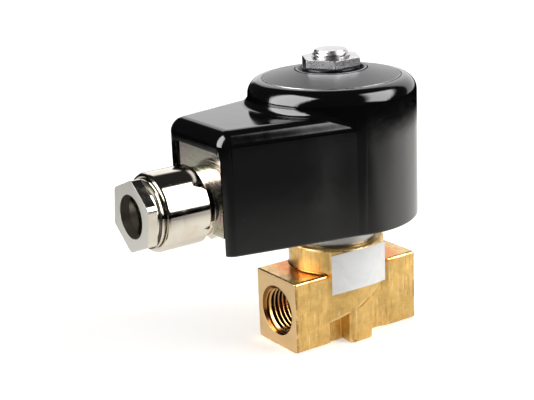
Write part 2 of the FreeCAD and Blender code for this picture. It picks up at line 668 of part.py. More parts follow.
# ---------------------------------------------------------------- terminal box
def gland_bracket():
    """Bent sheet: a plate that carries the gland and an arm clamped under the stud."""
    half = BRACKET_WIDTH / 2
    outer = block(-BRACKET_FACE, 0, -half, half, BRACKET_FOOT, SPACER_Z)
    bend = edges_at(outer, lambda p: p.x < TOL - BRACKET_FACE and p.z > SPACER_Z - TOL)
    outer = outer.makeFillet(BRACKET_BEND + BRACKET_T, bend)
    inner = block(-BRACKET_BACK, OVER, -half, half, BRACKET_FOOT - OVER, ARM_Z)
    bend = edges_at(inner, lambda p: p.x < TOL - BRACKET_BACK and p.z > ARM_Z - TOL)
    inner = inner.makeFillet(BRACKET_BEND, bend)
    sheet = outer.cut(inner)
    sheet = sheet.fuse(cylinder(half, ARM_Z, SPACER_Z)).removeSplitter()
    sheet = sheet.cut(cylinder(STUD_R + RUN, ARM_Z, SPACER_Z))
    sheet = sheet.cut(gland_bar(SPIGOT_R + RUN, BRACKET_BACK, BRACKET_FACE))
    sheet = sheet.cut(cylinder(EARTH_SCREW_R + THREAD_PLAY, ARM_Z, SPACER_Z, -EARTH_SCREW_X, 0))
    return sheet.cut([cylinder(BLOCK_SCREW_R + THREAD_PLAY, ARM_Z, SPACER_Z, -BLOCK_SCREW_X, y)
                      for y in block_screw_y()])


def block_middle():
    """Distance from the axis to the middle of the terminal block."""
    return (BLOCK_FRONT + BLOCK_REAR) / 2


def pole_y(k):
    """Offset of a pole from the block's middle."""
    return (k - (POLES - 1) / 2) * POLE_PITCH


def block_screw_y():
    """Offsets of the block's own screws, half-way between the poles."""
    return [pole_y(k + 0.5) for k in range(POLES - 1)]


def terminal_block():
    """Plastic block under the arm, with a wire cell and a screw shaft for each pole."""
    half = BLOCK_WIDTH / 2
    shape = block(-BLOCK_FRONT, -BLOCK_REAR, -half, half, BLOCK_Z, BLOCK_TOP)
    cell = CLAMP_SIZE / 2 + RUN
    for k in range(POLES):
        y = pole_y(k)
        shape = shape.cut(block(-BLOCK_FRONT, -BLOCK_REAR - BLOCK_WALL, y - cell, y + cell,
                                CLAMP_Z - cell, CLAMP_Z + cell))
        shape = shape.cut(cylinder(CLAMP_SCREW_HEAD_R + RUN, BLOCK_Z, CLAMP_Z, -block_middle(), y))
    for y in block_screw_y():
        shape = shape.cut(cylinder(BLOCK_SCREW_R + RUN, BLOCK_Z, BLOCK_TOP, -BLOCK_SCREW_X, y))
        shape = shape.cut(cylinder(BLOCK_SCREW_HEAD_R + RUN, BLOCK_Z, BLOCK_Z + SCREW_HEAD_T,
                                   -BLOCK_SCREW_X, y))
    return shape.cut(lead_holes())


def lead_holes():
    """Holes in the back of the block for the coil's two leads."""
    return [gland_bar(LEAD_R + LEAD_PLAY, BLOCK_REAR, BLOCK_REAR + BLOCK_WALL, pole_y(k), CLAMP_Z)
            for k in (0, POLES - 1)]


def terminal_clamps():
    """Brass clamp bodies, one in each cell."""
    half = CLAMP_SIZE / 2
    middle = block_middle()
    clamps = []
    for k in range(POLES):
        y = pole_y(k)
        body = block(-middle - half, -middle + half, y - half, y + half,
                     CLAMP_Z - half, CLAMP_Z + half)
        wire = gland_bar(CLAMP_HOLE_R, middle - half, middle + half, y, CLAMP_Z + CLAMP_HOLE_RISE)
        thread = cylinder(CLAMP_SCREW_R + THREAD_PLAY, CLAMP_Z - half, CLAMP_Z, -middle, y)
        clamps.append(body.cut([wire, thread]))
    return Part.makeCompound(clamps)


def slotted_screw(radius, head_r, length, x, y, z):
    """Screw turned from below: slotted head under height z, shank above it."""
    shape = cylinder(head_r, -SCREW_HEAD_T, 0).fuse(cylinder(radius, 0, length))
    slot = block(-head_r, head_r, -SCREW_SLOT / 2, SCREW_SLOT / 2, -SCREW_HEAD_T,
                 SCREW_SLOT - SCREW_HEAD_T)
    shape = shape.removeSplitter().cut(slot)
    shape.translate(V(x, y, z))
    return shape


def terminal_screws():
    """Clamp screws, turned from below."""
    head_top = CLAMP_Z - CLAMP_SIZE / 2 - SEAT
    screws = [slotted_screw(CLAMP_SCREW_R, CLAMP_SCREW_HEAD_R, CLAMP_SIZE / 2, -block_middle(),
                            pole_y(k), head_top) for k in range(POLES)]
    return Part.makeCompound(screws)


def block_screws():
    """Screws that hold the block to the arm, between the poles."""
    seat = BLOCK_Z + SCREW_HEAD_T
    screws = [slotted_screw(BLOCK_SCREW_R, BLOCK_SCREW_HEAD_R, SPACER_Z - seat, -BLOCK_SCREW_X, y, seat)
              for y in block_screw_y()]
    return Part.makeCompound(screws)


def earth_screw():
    """Earth screw in the arm, with its head inside the box."""
    return slotted_screw(EARTH_SCREW_R, EARTH_SCREW_HEAD_R, BRACKET_T + EARTH_WASHER_T,
                         -EARTH_SCREW_X, 0, ARM_Z - EARTH_WASHER_T)


def earth_washer():
    """Washer between the earth screw's head and the arm."""
    z = ARM_Z - EARTH_WASHER_T
    shape = cylinder(EARTH_WASHER_R, z, ARM_Z, -EARTH_SCREW_X, 0)
    return shape.cut(cylinder(EARTH_SCREW_R + RUN, z, ARM_Z, -EARTH_SCREW_X, 0))


def coil_lead(k):
    """Insulated lead from the bobbin's lug to a pole of the block."""
    y = pole_y(k)
    z = YOKE_TOP_Z - SEAT - BOBBIN_FLANGE - LEAD_R - TUCK
    start = V(-BOBBIN_R - LEAD_R, math.copysign(LEAD_SPACING / 2, y), z)
    entry = V(-BLOCK_REAR, y, CLAMP_Z)
    end = entry - V(BLOCK_WALL, 0, 0)
    bend = V(-(BOBBIN_R + BLOCK_REAR) / 2, (start.y + end.y) / 2, min(z, CLAMP_Z) - LEAD_SAG)
    curve = Part.BSplineCurve()
    curve.interpolate([start, bend, entry, end])
    path = Part.Wire(curve.toShape())
    circle = Part.makeCircle(LEAD_R, start, curve.tangent(curve.FirstParameter)[0])
    return path.makePipeShell([Part.Wire(circle)], True, True)


def coil_leads():
    """Both leads of the coil."""
    return Part.makeCompound([coil_lead(0), coil_lead(POLES - 1)])


# ---------------------------------------------------------------- cable gland
def gland_body():
    """Turned gland body: spigot through the bracket, round barrel, threaded mouth."""
    edge = GLAND_EDGE
    barrel = GLAND_R
    profile = [(SPIGOT_END, GLAND_BORE), (SPIGOT_END, SPIGOT_R - SPIGOT_CHAMFER),
               (SPIGOT_END + SPIGOT_CHAMFER, SPIGOT_R), (BRACKET_FACE, SPIGOT_R),
               (BRACKET_FACE + GLAND_WASHER_T, SPIGOT_R),
               (BRACKET_FACE + GLAND_WASHER_T, SPIGOT_SHOULDER), (GLAND_BACK, SPIGOT_SHOULDER),
               (GLAND_BACK, barrel - GLAND_BACK_EDGE), (GLAND_BACK + GLAND_BACK_EDGE, barrel),
               (GLAND_FRONT - edge, barrel), (GLAND_FRONT - edge / 4, barrel - edge / 3),
               (GLAND_FRONT, barrel - edge), (GLAND_FRONT, GLAND_THREAD_R),
               (POCKET_FLOOR, GLAND_THREAD_R), (POCKET_FLOOR, GLAND_BORE)]
    return gland_turned(profile)


def gland_seal_washer():
    """Flat seal between the gland body and the bracket."""
    return gland_turned([(BRACKET_FACE, SPIGOT_R + RUN), (BRACKET_FACE, GLAND_WASHER_R),
                         (BRACKET_FACE + GLAND_WASHER_T, GLAND_WASHER_R),
                         (BRACKET_FACE + GLAND_WASHER_T, SPIGOT_R + RUN)])


def along_gland(shape, near):
    """Lay a shape built on +Z along the gland axis, from a distance outwards."""
    shape.rotate(V(0, 0, 0), Y_AXIS, -90)
    shape.translate(V(-near, 0, GLAND_HEIGHT))
    return shape


def gland_lock_nut():
    """Hexagon nut on the spigot, inside the box."""
    reach = GLAND_LOCKNUT_FLATS / 2 / math.cos(math.pi / 6)
    shape = turned_hexagon(GLAND_LOCKNUT_FLATS, GLAND_LOCKNUT_T, reach - HEX_CHAMFER / 2, HEX_CHAMFER)
    shape = shape.cut(cylinder(SPIGOT_R + THREAD_PLAY, 0, GLAND_LOCKNUT_T))
    return along_gland(shape, LOCKNUT_BACK)


def gland_grommet():
    """Rubber sealing insert that grips the cable."""
    outer = GLAND_THREAD_R - RUN
    return gland_turned([(POCKET_FLOOR, GROMMET_BORE), (POCKET_FLOOR, outer),
                         (GROMMET_FRONT, outer), (GROMMET_FRONT, GROMMET_BORE)])


def gland_thrust_washer():
    """Slip washer between the gland nut and the rubber insert."""
    outer = GLAND_THREAD_R - RUN
    return gland_turned([(THRUST_BACK, GLAND_NUT_HOLE), (THRUST_BACK, outer),
                         (THRUST_FRONT, outer), (THRUST_FRONT, GLAND_NUT_HOLE)])


def gland_nut():
    """Compression nut: threaded shank, collar, neck and hexagon head."""
    shank = GLAND_THREAD_R - THREAD_PLAY
    collar = GLAND_FRONT + GLAND_NUT_COLLAR_GAP
    collar_end = collar + GLAND_NUT_COLLAR_T
    head = GLAND_NUT_FACE - GLAND_NUT_HEAD
    stem = gland_turned([(NUT_SHANK_END, GLAND_NUT_HOLE), (NUT_SHANK_END, shank),
                         (collar, shank), (collar, GLAND_NUT_COLLAR_R),
                         (collar_end, GLAND_NUT_COLLAR_R), (collar_end, GLAND_NUT_NECK_R),
                         (head, GLAND_NUT_NECK_R), (head, GLAND_NUT_HOLE)])
    hexagon_head = turned_hexagon(GLAND_NUT_FLATS, GLAND_NUT_HEAD, GLAND_NUT_TURNED_R, HEX_CHAMFER)
    hexagon_head = along_gland(hexagon_head, head)
    mouth = gland_turned([(head - OVER, 0), (head - OVER, GLAND_NUT_HOLE),
                          (GLAND_NUT_FACE - GLAND_NUT_MOUTH, GLAND_NUT_HOLE),
                          (GLAND_NUT_FACE, GLAND_NUT_HOLE + GLAND_NUT_MOUTH),
                          (GLAND_NUT_FACE + OVER, GLAND_NUT_HOLE + GLAND_NUT_MOUTH),
                          (GLAND_NUT_FACE + OVER, 0)])
    return stem.fuse(hexagon_head).removeSplitter().cut(mouth)


# ---------------------------------------------------------------- build
NODES = [valve_body, body_o_ring, armature_tube, screw_ring, fixed_core, shading_ring, plunger,
         plunger_seal, plunger_spring, bottom_cover, yoke_frame, yoke_top_plate, coil_bobbin,
         coil_winding, winding_tape, spacer_bush, housing_shell, nameplate, dish_washer,
         lock_washer, top_nut, gland_bracket, terminal_block, terminal_clamps, terminal_screws,
         block_screws, earth_screw, earth_washer, coil_leads, gland_body, gland_seal_washer,
         gland_lock_nut, gland_grommet, gland_thrust_washer, gland_nut]

os.makedirs("parts", exist_ok=True)
for make in NODES:
    make().exportStep("parts/" + make.__name__ + ".step")
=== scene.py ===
"""Dressed model of a two-way solenoid valve: forged body, enamelled coil housing and cable gland."""

import contextlib
import json
import math

import bmesh
import bpy
from mathutils import Matrix, Vector

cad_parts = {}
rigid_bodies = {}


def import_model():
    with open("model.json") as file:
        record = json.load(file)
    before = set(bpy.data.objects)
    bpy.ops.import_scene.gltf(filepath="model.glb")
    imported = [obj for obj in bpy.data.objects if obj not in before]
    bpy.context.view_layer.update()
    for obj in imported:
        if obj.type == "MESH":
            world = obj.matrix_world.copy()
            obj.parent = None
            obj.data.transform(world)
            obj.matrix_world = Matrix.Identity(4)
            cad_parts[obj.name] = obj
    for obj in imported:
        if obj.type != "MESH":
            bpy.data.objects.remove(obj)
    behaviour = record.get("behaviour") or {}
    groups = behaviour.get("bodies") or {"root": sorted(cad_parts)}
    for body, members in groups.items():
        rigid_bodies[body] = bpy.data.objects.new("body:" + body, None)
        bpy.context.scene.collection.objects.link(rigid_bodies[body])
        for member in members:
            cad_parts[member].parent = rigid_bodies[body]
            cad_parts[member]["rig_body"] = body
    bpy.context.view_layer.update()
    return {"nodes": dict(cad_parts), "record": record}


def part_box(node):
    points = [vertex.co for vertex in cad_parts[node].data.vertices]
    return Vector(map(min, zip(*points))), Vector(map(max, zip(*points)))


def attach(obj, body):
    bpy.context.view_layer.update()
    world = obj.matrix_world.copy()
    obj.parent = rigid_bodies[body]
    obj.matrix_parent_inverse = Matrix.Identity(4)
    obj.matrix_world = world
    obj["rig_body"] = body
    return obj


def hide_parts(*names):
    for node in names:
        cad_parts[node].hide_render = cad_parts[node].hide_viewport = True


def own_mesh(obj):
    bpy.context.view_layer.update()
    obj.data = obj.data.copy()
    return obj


bl_info = {
    "name": "Solenoid Valve Looks",
    "version": (1, 0, 0),
    "blender": (4, 5, 0),
    "location": "View3D > Sidebar > Valve",
    "description": "Threads, label, smooth metalwork, finishes and studio for a solenoid valve",
    "category": "Object",
}

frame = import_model()
CAD = frame["nodes"]
MOUNTS = {mount["name"]: mount for mount in frame["record"]["mounts"]}
MM = 0.001
HOLLOW = "hollow"
PLUS_Z = Vector((0, 0, 1))
PORT_HEIGHT = MOUNTS["inlet_port"]["pos_m"][2]
GLAND_HEIGHT = MOUNTS["cable_entry"]["pos_m"][2]
WIRE_PITCH = 0.4 * MM
TAPE_PITCH = 0.5 * MM
TAPE_THREADS = 200.0
SMOOTH_ANGLE = math.radians(30)
OVERLAP = 0.03 * MM


# ---------------------------------------------------------------- sizes and colours a user may change
class ValveSizes(bpy.types.PropertyGroup):
    """Sizes of the modelled detail, in metres."""

    port_pitch: bpy.props.FloatProperty(
        name="Port thread pitch", description="Advance of the pipe thread in each turn",
        default=1.337 * MM, unit="LENGTH")
    port_tooth: bpy.props.FloatProperty(
        name="Port thread height", description="Height of the pipe thread's tooth",
        default=0.86 * MM, unit="LENGTH")
    port_chamfer: bpy.props.FloatProperty(
        name="Port chamfer", description="Chamfer of the ports' mouths, where the thread runs out",
        default=0.35 * MM, unit="LENGTH")
    fixing_pitch: bpy.props.FloatProperty(
        name="Fixing thread pitch", description="Advance of the fixing holes' thread",
        default=0.7 * MM, unit="LENGTH")
    fixing_tooth: bpy.props.FloatProperty(
        name="Fixing thread height", description="Height of the fixing thread's tooth",
        default=0.28 * MM, unit="LENGTH")
    stud_pitch: bpy.props.FloatProperty(
        name="Stud thread pitch", description="Advance of the stud's thread in each turn",
        default=1.0 * MM, unit="LENGTH")
    stud_tooth: bpy.props.FloatProperty(
        name="Stud thread height", description="Height of the stud thread's tooth",
        default=0.58 * MM, unit="LENGTH")
    forging_grid: bpy.props.FloatProperty(
        name="Forging grid", description="Mesh size of the forged body's skin",
        default=0.22 * MM, unit="LENGTH")
    forging_passes: bpy.props.IntProperty(
        name="Forging softness", description="Passes that relax the forged body's edges", default=4)
    plunger_lift: bpy.props.FloatProperty(
        name="Plunger lift", description="How far the plunger shortens its spring",
        default=1.2 * MM, unit="LENGTH")
    gland_flats: bpy.props.FloatProperty(
        name="Gland nut flats", description="Width across the flats of the gland nut's head",
        default=17.0 * MM, unit="LENGTH")
    gland_corner: bpy.props.FloatProperty(
        name="Gland nut corners", description="Radius at which the head's corners are turned off",
        default=9.6 * MM, unit="LENGTH")
    gland_turn: bpy.props.FloatProperty(
        name="Gland nut turn", description="How far the head's top corner stands from upright",
        default=math.radians(8), unit="ROTATION")
    gland_head: bpy.props.FloatProperty(
        name="Gland nut head", description="Thickness of the gland nut's head",
        default=2.65 * MM, unit="LENGTH")
    # these passes also spread the painted edge highlights and the painted shade in the hollows
    wear_and_shade_passes: bpy.props.IntProperty(
        name="Wear width", description="Passes that spread the worn edges and the painted shade and dirt in the hollows",
        default=5)
    label_thickness: bpy.props.FloatProperty(
        name="Label thickness", description="Thickness of the paper label",
        default=0.08 * MM, unit="LENGTH")
    edge_round: bpy.props.FloatProperty(
        name="Edge rounding", description="Rounding of the edges of turned and pressed parts",
        default=0.12 * MM, unit="LENGTH")


class ValveColours(bpy.types.PropertyGroup):
    """Main colours of the finishes."""

    enamel: bpy.props.FloatVectorProperty(
        name="Enamel", description="Housing's stove enamel", subtype="COLOR",
        default=(0.0028, 0.0028, 0.0029))
    brass: bpy.props.FloatVectorProperty(
        name="Forged brass", description="Pickled skin of the forging", subtype="COLOR",
        default=(0.665, 0.435, 0.15))
    brass_cut: bpy.props.FloatVectorProperty(
        name="Machined brass", description="Faces and bores that a tool has cut", subtype="COLOR",
        default=(0.62, 0.43, 0.22))
    nickel: bpy.props.FloatVectorProperty(
        name="Nickel plate", description="Plating of the cable gland", subtype="COLOR",
        default=(0.66, 0.62, 0.55))
    zinc: bpy.props.FloatVectorProperty(
        name="Zinc plate", description="Plating of nuts, washers and screws", subtype="COLOR",
        default=(0.54, 0.53, 0.54))
    passivate: bpy.props.FloatVectorProperty(
        name="Yellow zinc", description="Yellow passivated bracket", subtype="COLOR",
        default=(0.53, 0.545, 0.425))
    nameplate: bpy.props.FloatVectorProperty(
        name="Nameplate", description="Anodised face of the blank nameplate", subtype="COLOR",
        default=(0.125, 0.125, 0.13))
    label: bpy.props.FloatVectorProperty(
        name="Label", description="Paper of the blank label", subtype="COLOR",
        default=(0.90, 0.905, 0.90))
    steel: bpy.props.FloatVectorProperty(
        name="Stainless steel", description="Armature tube, core and plunger", subtype="COLOR",
        default=(0.62, 0.61, 0.59))
    copper: bpy.props.FloatVectorProperty(
        name="Copper", description="Winding and shading ring", subtype="COLOR",
        default=(0.85, 0.44, 0.25))
    plastic: bpy.props.FloatVectorProperty(
        name="Pale plastic", description="Bobbin and terminal block", subtype="COLOR",
        default=(0.62, 0.60, 0.54))
    rubber: bpy.props.FloatVectorProperty(
        name="Rubber", description="Seals and the gland's insert", subtype="COLOR",
        default=(0.030, 0.025, 0.021))


class ValveStudio(bpy.types.PropertyGroup):
    """Light levels of the studio."""

    key_power: bpy.props.FloatProperty(
        name="Key lamp", description="Power of the soft lamp at the right", default=6.0, unit="POWER")
    fill_power: bpy.props.FloatProperty(
        name="Fill lamp", description="Power of the soft lamp at the left", default=3.0, unit="POWER")
    ambient: bpy.props.FloatProperty(
        name="Room light", description="Even light that reaches matt surfaces", default=0.55)
    right_box: bpy.props.FloatProperty(
        name="Right soft box", description="Brightness of the right soft box in gloss", default=9.0)
    left_box: bpy.props.FloatProperty(
        name="Left soft box", description="Brightness of the left soft box in gloss", default=11.0)
    paper: bpy.props.FloatProperty(
        name="Paper", description="Brightness in gloss of the paper behind the valve", default=1.4)
    dark_room: bpy.props.FloatProperty(
        name="Dark room", description="Brightness in gloss of all the rest", default=0.025)


# ---------------------------------------------------------------- small tools for shader trees
def fill(tree, sockets, values):
    """Set or connect sockets; underscores in a name stand for spaces."""
    for key, value in values.items():
        socket = sockets[key.replace("_", " ") if isinstance(key, str) else key]
        if isinstance(value, bpy.types.NodeSocket):
            tree.links.new(value, socket)
        else:
            socket.default_value = value


def put(tree, kind, inputs=None, **settings):
    """Add a shader node, set it, and fill or connect its inputs."""
    node = tree.nodes.new(kind)
    for name, value in settings.items():
        setattr(node, name, value)
    fill(tree, node.inputs, inputs or {})
    return node


def maths(tree, operation, *values):
    """Math node on sockets or numbers."""
    return put(tree, "ShaderNodeMath", dict(enumerate(values)), operation=operation).outputs[0]


def times(tree, product, *others):
    """Product of sockets or numbers."""
    for value in others:
        product = maths(tree, "MULTIPLY", product, value)
    return product


def vectors(tree, operation, *values):
    """Vector Math node on sockets or vectors."""
    return put(tree, "ShaderNodeVectorMath", dict(enumerate(values)), operation=operation)


def parts(tree, vector):
    """The three coordinates of a vector."""
    return put(tree, "ShaderNodeSeparateXYZ", {0: vector}).outputs


def from_axis(tree, first, second):
    """Distance from an axis, from the two coordinates across it."""
    flat = put(tree, "ShaderNodeCombineXYZ", {0: first, 1: second}).outputs[0]
    return vectors(tree, "LENGTH", flat).outputs["Value"]


def drawn_out(tree, place, scale):
    """Coordinates scaled along each axis, which draws a pattern out along the small ones."""
    return put(tree, "ShaderNodeMapping", {"Vector": place, "Scale": scale}).outputs[0]


def round_bore(tree, place, height):
    """Coordinates whose +Z runs along X at a height, for rings round a bore."""
    inputs = {"Vector": place, "Location": (0, 0, height), "Rotation": (0, math.radians(90), 0)}
    return put(tree, "ShaderNodeMapping", inputs, vector_type="TEXTURE").outputs[0]


def mix(tree, mask, first, second):
    """Colour mix from first to second as the mask rises."""
    node = put(tree, "ShaderNodeMix", {0: mask, 6: first, 7: second}, data_type="RGBA")
    return node.outputs[2]


def span(tree, value, low, high, to_low=0.0, to_high=1.0):
    """Smooth step of a value between two limits."""
    inputs = {0: value, 1: low, 2: high, 3: to_low, 4: to_high}
    return put(tree, "ShaderNodeMapRange", inputs, interpolation_type="SMOOTHSTEP").outputs[0]


def noise(tree, vector, scale, detail=3.0, roughness=0.55, distortion=0.0):
    """Value of a noise texture."""
    inputs = {"Vector": vector, "Scale": scale, "Detail": detail, "Roughness": roughness,
              "Distortion": distortion}
    return put(tree, "ShaderNodeTexNoise", inputs).outputs[0]


def bump(tree, height, distance, normal=None):
    """Bump from a height, over a normal if one is given."""
    inputs = {"Height": height, "Distance": distance}
    if normal:
        inputs["Normal"] = normal
    return put(tree, "ShaderNodeBump", inputs).outputs[0]


def new_group(name, inputs, outputs):
    """Node group of float and vector sockets on coordinates; returns tree, inputs and outputs."""
    tree = bpy.data.node_groups.new(name, "ShaderNodeTree")
    tree.interface.new_socket("Vector", in_out="INPUT", socket_type="NodeSocketVector")
    for socket, default in inputs.items():
        item = tree.interface.new_socket(socket, in_out="INPUT", socket_type="NodeSocketFloat")
        item.default_value = default
    for socket in outputs:
        kind = "NodeSocketVector" if socket == "Normal" else "NodeSocketFloat"
        tree.interface.new_socket(socket, in_out="OUTPUT", socket_type=kind)
    return tree, tree.nodes.new("NodeGroupInput").outputs, tree.nodes.new("NodeGroupOutput").inputs


# ---------------------------------------------------------------- effects that several finishes share
def forged_skin():
    """Tumbled skin of a forging: patchy tone, fine dark specks, a pitted normal."""
    tree, given, made = new_group(
        "Forged Skin", {"Patch Scale": 260.0, "Speck Scale": 2600.0, "Depth": 0.00003},
        ("Tone", "Specks", "Normal"))
    patch = noise(tree, given["Vector"], given["Patch Scale"], 4.0, 0.6, 0.4)
    grain = noise(tree, given["Vector"], given["Speck Scale"], 3.0, 0.7)
    height = maths(tree, "SUBTRACT", patch, times(tree, grain, 0.5))
    fill(tree, made, {"Tone": span(tree, patch, 0.3, 0.7), "Specks": span(tree, grain, 0.60, 0.74),
                      "Normal": bump(tree, height, given["Depth"])})
    return tree


def turned_marks():
    """Fine rings that a lathe tool leaves round the Z axis."""
    tree, given, made = new_group("Turned Marks", {"Scale": 9000.0, "Depth": 0.000004},
                                  ("Tone", "Normal"))
    across, depth, height = parts(tree, given["Vector"])
    along = times(tree, maths(tree, "ADD", from_axis(tree, across, depth), height), given["Scale"])
    ring = put(tree, "ShaderNodeTexNoise", {"W": along, "Scale": 1.0, "Detail": 2.0},
               noise_dimensions="1D").outputs[0]
    fill(tree, made, {"Tone": ring, "Normal": bump(tree, ring, given["Depth"])})
    return tree


def handling():
    """Dust specks and faint smudges that handling leaves."""
    tree, given, made = new_group("Handling", {"Dust": 0.5, "Smudge Scale": 90.0},
                                  ("Dust", "Smudge"))
    cells = put(tree, "ShaderNodeTexVoronoi", {"Vector": given["Vector"], "Scale": 700.0})
    speck = span(tree, cells.outputs["Distance"], 0.10, 0.02)
    rare = span(tree, noise(tree, given["Vector"], 400.0, 1.0), 0.60, 0.66)
    smudge = noise(tree, given["Vector"], given["Smudge Scale"], 5.0, 0.6, 1.0)
    fill(tree, made, {"Dust": times(tree, speck, rare, given["Dust"]),
                      "Smudge": span(tree, smudge, 0.35, 0.75)})
    return tree


def fine_grain():
    """Fine grain of a sprayed, moulded or sanded surface."""
    tree, given, made = new_group("Fine Grain", {"Scale": 900.0, "Depth": 0.00001},
                                  ("Tone", "Normal"))
    grain = noise(tree, given["Vector"], given["Scale"], 3.0, 0.5)
    fill(tree, made, {"Tone": grain, "Normal": bump(tree, grain, given["Depth"])})
    return tree


GROUPS = {make.__name__: make() for make in (forged_skin, turned_marks, handling, fine_grain)}


def use(tree, effect, place, **inputs):
    """Place a shared effect in a tree, on the given coordinates."""
    return put(tree, "ShaderNodeGroup", {"Vector": place, **inputs}, node_tree=GROUPS[effect]).outputs


# ---------------------------------------------------------------- finishes
def faded(colour, share=1.0):
    """A colour made darker or lighter by a share."""
    return tuple(min(1.0, c * share) for c in colour[:3]) + (1.0,)


def look(colour, rough, normal, metallic=1.0, **more):
    """Inputs of a finish's Principled shader."""
    return {"Base Color": colour, "Metallic": metallic, "Roughness": rough, "Normal": normal, **more}


def enamel_finish(tree, place, colours):
    """Deep gloss stove enamel: orange peel over soft press ripples, dust and faint smudges."""
    ripples = bump(tree, noise(tree, place, 60.0, 2.0), 0.00008)
    peel = bump(tree, noise(tree, place, 330.0, 3.0, 0.5), 0.000012, ripples)
    marks = use(tree, "handling", place, Dust=0.5)
    colour = mix(tree, marks["Dust"], faded(colours.enamel), (0.12, 0.12, 0.12, 1))
    return look(colour, span(tree, marks["Smudge"], 0.0, 1.0, 0.07, 0.12), peel, 0.0, IOR=1.5)


def brass_finish(tree, place, colours):
    """Forged brass: a golden skin with drawn scratches and specks, worn edges that partly carry a
    painted highlight, hollows and bores darkened with painted shade (the hollows with some dirt too),
    and a painted reflection of the hub on the blocks' tops.
    """
    skin = use(tree, "forged_skin", place)
    across, depth, height = parts(tree, place)
    ends = maths(tree, "ABSOLUTE", across)
    streaks = noise(tree, drawn_out(tree, place, (1.0, 1.0, 0.13)), 1300.0, 4.0, 0.65)
    patches = noise(tree, place, 330.0, 4.0, 0.65, 0.6)
    specks = times(tree, skin["Specks"], 0.5)
    golden = mix(tree, skin["Tone"], faded(colours.brass, 0.78), faded(colours.brass, 1.05))
    golden = mix(tree, span(tree, streaks, 0.44, 0.30, 0.0, 0.55), golden, (0.90, 0.68, 0.36, 1))
    golden = mix(tree, span(tree, streaks, 0.56, 0.68, 0.0, 0.6), golden, (0.38, 0.20, 0.06, 1))
    golden = mix(tree, specks, golden, (0.20, 0.09, 0.03, 1))

    # painted reflection: the upper faces of both blocks are painted redder towards the hub, standing
    # for the hub's shaded wall seen in them
    upper = times(tree, span(tree, height, 0.0185, 0.0195), span(tree, height, 0.0207, 0.0201))
    hub_reflection_mask = span(tree, from_axis(tree, across, depth), 0.0205, 0.0150)
    golden = mix(tree, times(tree, upper, hub_reflection_mask, 0.9), golden, (0.60, 0.17, 0.006, 1))

    # edges are worn bright in some patches, which is partly a painted highlight along them, and dirty
    # in others; hollows are brown, partly painted shade and partly grime
    bend = put(tree, "ShaderNodeAttribute", attribute_name=HOLLOW).outputs["Fac"]
    edge = span(tree, bend, -0.014, -0.034)
    worn = times(tree, edge, span(tree, patches, 0.40, 0.55), 0.6)
    golden = mix(tree, worn, golden, (0.80, 0.58, 0.29, 1))
    dirty = times(tree, edge, span(tree, patches, 0.50, 0.36), 0.6)
    rim = times(tree, span(tree, ends, 0.0195, 0.0203), span(tree, patches, 0.62, 0.42), 0.75)
    golden = mix(tree, maths(tree, "MAXIMUM", dirty, rim), golden, (0.25, 0.11, 0.03, 1))
    # painted shade, with some grime, darkens the hollows brown
    golden = mix(tree, span(tree, bend, 0.008, 0.045, 0.0, 0.8), golden, (0.42, 0.18, 0.035, 1))

    # the ports' bores are darkened with painted shade, and their end faces are cut bright
    from_port = from_axis(tree, depth, maths(tree, "SUBTRACT", height, PORT_HEIGHT))
    bore = times(tree, span(tree, from_port, 0.00672, 0.00662), span(tree, ends, 0.004, 0.006))
    golden = mix(tree, bore, golden, (0.18, 0.07, 0.018, 1))
    turned = use(tree, "turned_marks", round_bore(tree, place, PORT_HEIGHT), Scale=14000.0,
                 Depth=0.000006)
    machined = mix(tree, turned["Tone"], faded(colours.brass_cut, 0.9), faded(colours.brass_cut))
    machined = mix(tree, specks, machined, (0.25, 0.14, 0.06, 1))
    cut = span(tree, ends, 0.02044, 0.02049)
    rough = span(tree, skin["Tone"], 0.0, 1.0, 0.42, 0.33)
    rough = maths(tree, "SUBTRACT", rough, times(tree, upper, 0.14))
    scored = bump(tree, streaks, 0.00003, skin["Normal"])
    normal = put(tree, "ShaderNodeMix", {0: cut, 4: scored, 5: turned["Normal"]},
                 data_type="VECTOR").outputs[1]
    return look(mix(tree, cut, golden, machined), rough, normal)


def thread_finish(tree, place, colours):
    """Cut brass of the threads: bright at the crests, with painted shade making the roots brown."""
    grain = use(tree, "fine_grain", place, Scale=4000.0, Depth=0.000004)
    depth, height = parts(tree, place)[1:]
    from_port = from_axis(tree, depth, maths(tree, "SUBTRACT", height, PORT_HEIGHT))
    crest = mix(tree, grain["Tone"], (0.50, 0.30, 0.11, 1), (0.62, 0.40, 0.17, 1))
    # painted shade darkens the roots
    colour = mix(tree, span(tree, from_port, 0.00585, 0.00645), crest, (0.21, 0.085, 0.02, 1))
    return look(colour, 0.22, grain["Normal"])


def nickel_finish(tree, place, colours):
    """Bright nickel with faint tool rings under it and a warm tarnish."""
    turned = use(tree, "turned_marks", round_bore(tree, place, GLAND_HEIGHT), Scale=5200.0,
                 Depth=0.0000025)
    tarnish = use(tree, "handling", place, Smudge_Scale=160.0)["Smudge"]
    colour = mix(tree, tarnish, faded(colours.nickel), (0.60, 0.54, 0.46, 1))
    return look(colour, span(tree, tarnish, 0.0, 1.0, 0.07, 0.14), turned["Normal"])


def zinc_finish(tree, place, colours):
    """Bright zinc with a soft crystalline tone, dark in the shade under the top nut."""
    grain = use(tree, "fine_grain", place, Scale=2600.0, Depth=0.000003)
    marks = use(tree, "handling", place, Smudge_Scale=300.0)
    colour = mix(tree, marks["Smudge"], faded(colours.zinc), faded(colours.zinc, 0.8))
    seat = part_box("top_nut")[0].z
    above = span(tree, parts(tree, place)[2], seat + 0.42 * MM, seat + 0.55 * MM)
    colour = mix(tree, above, faded(colours.zinc, 0.12), colour)
    return look(colour, span(tree, grain["Tone"], 0.3, 0.7, 0.26, 0.33), grain["Normal"])


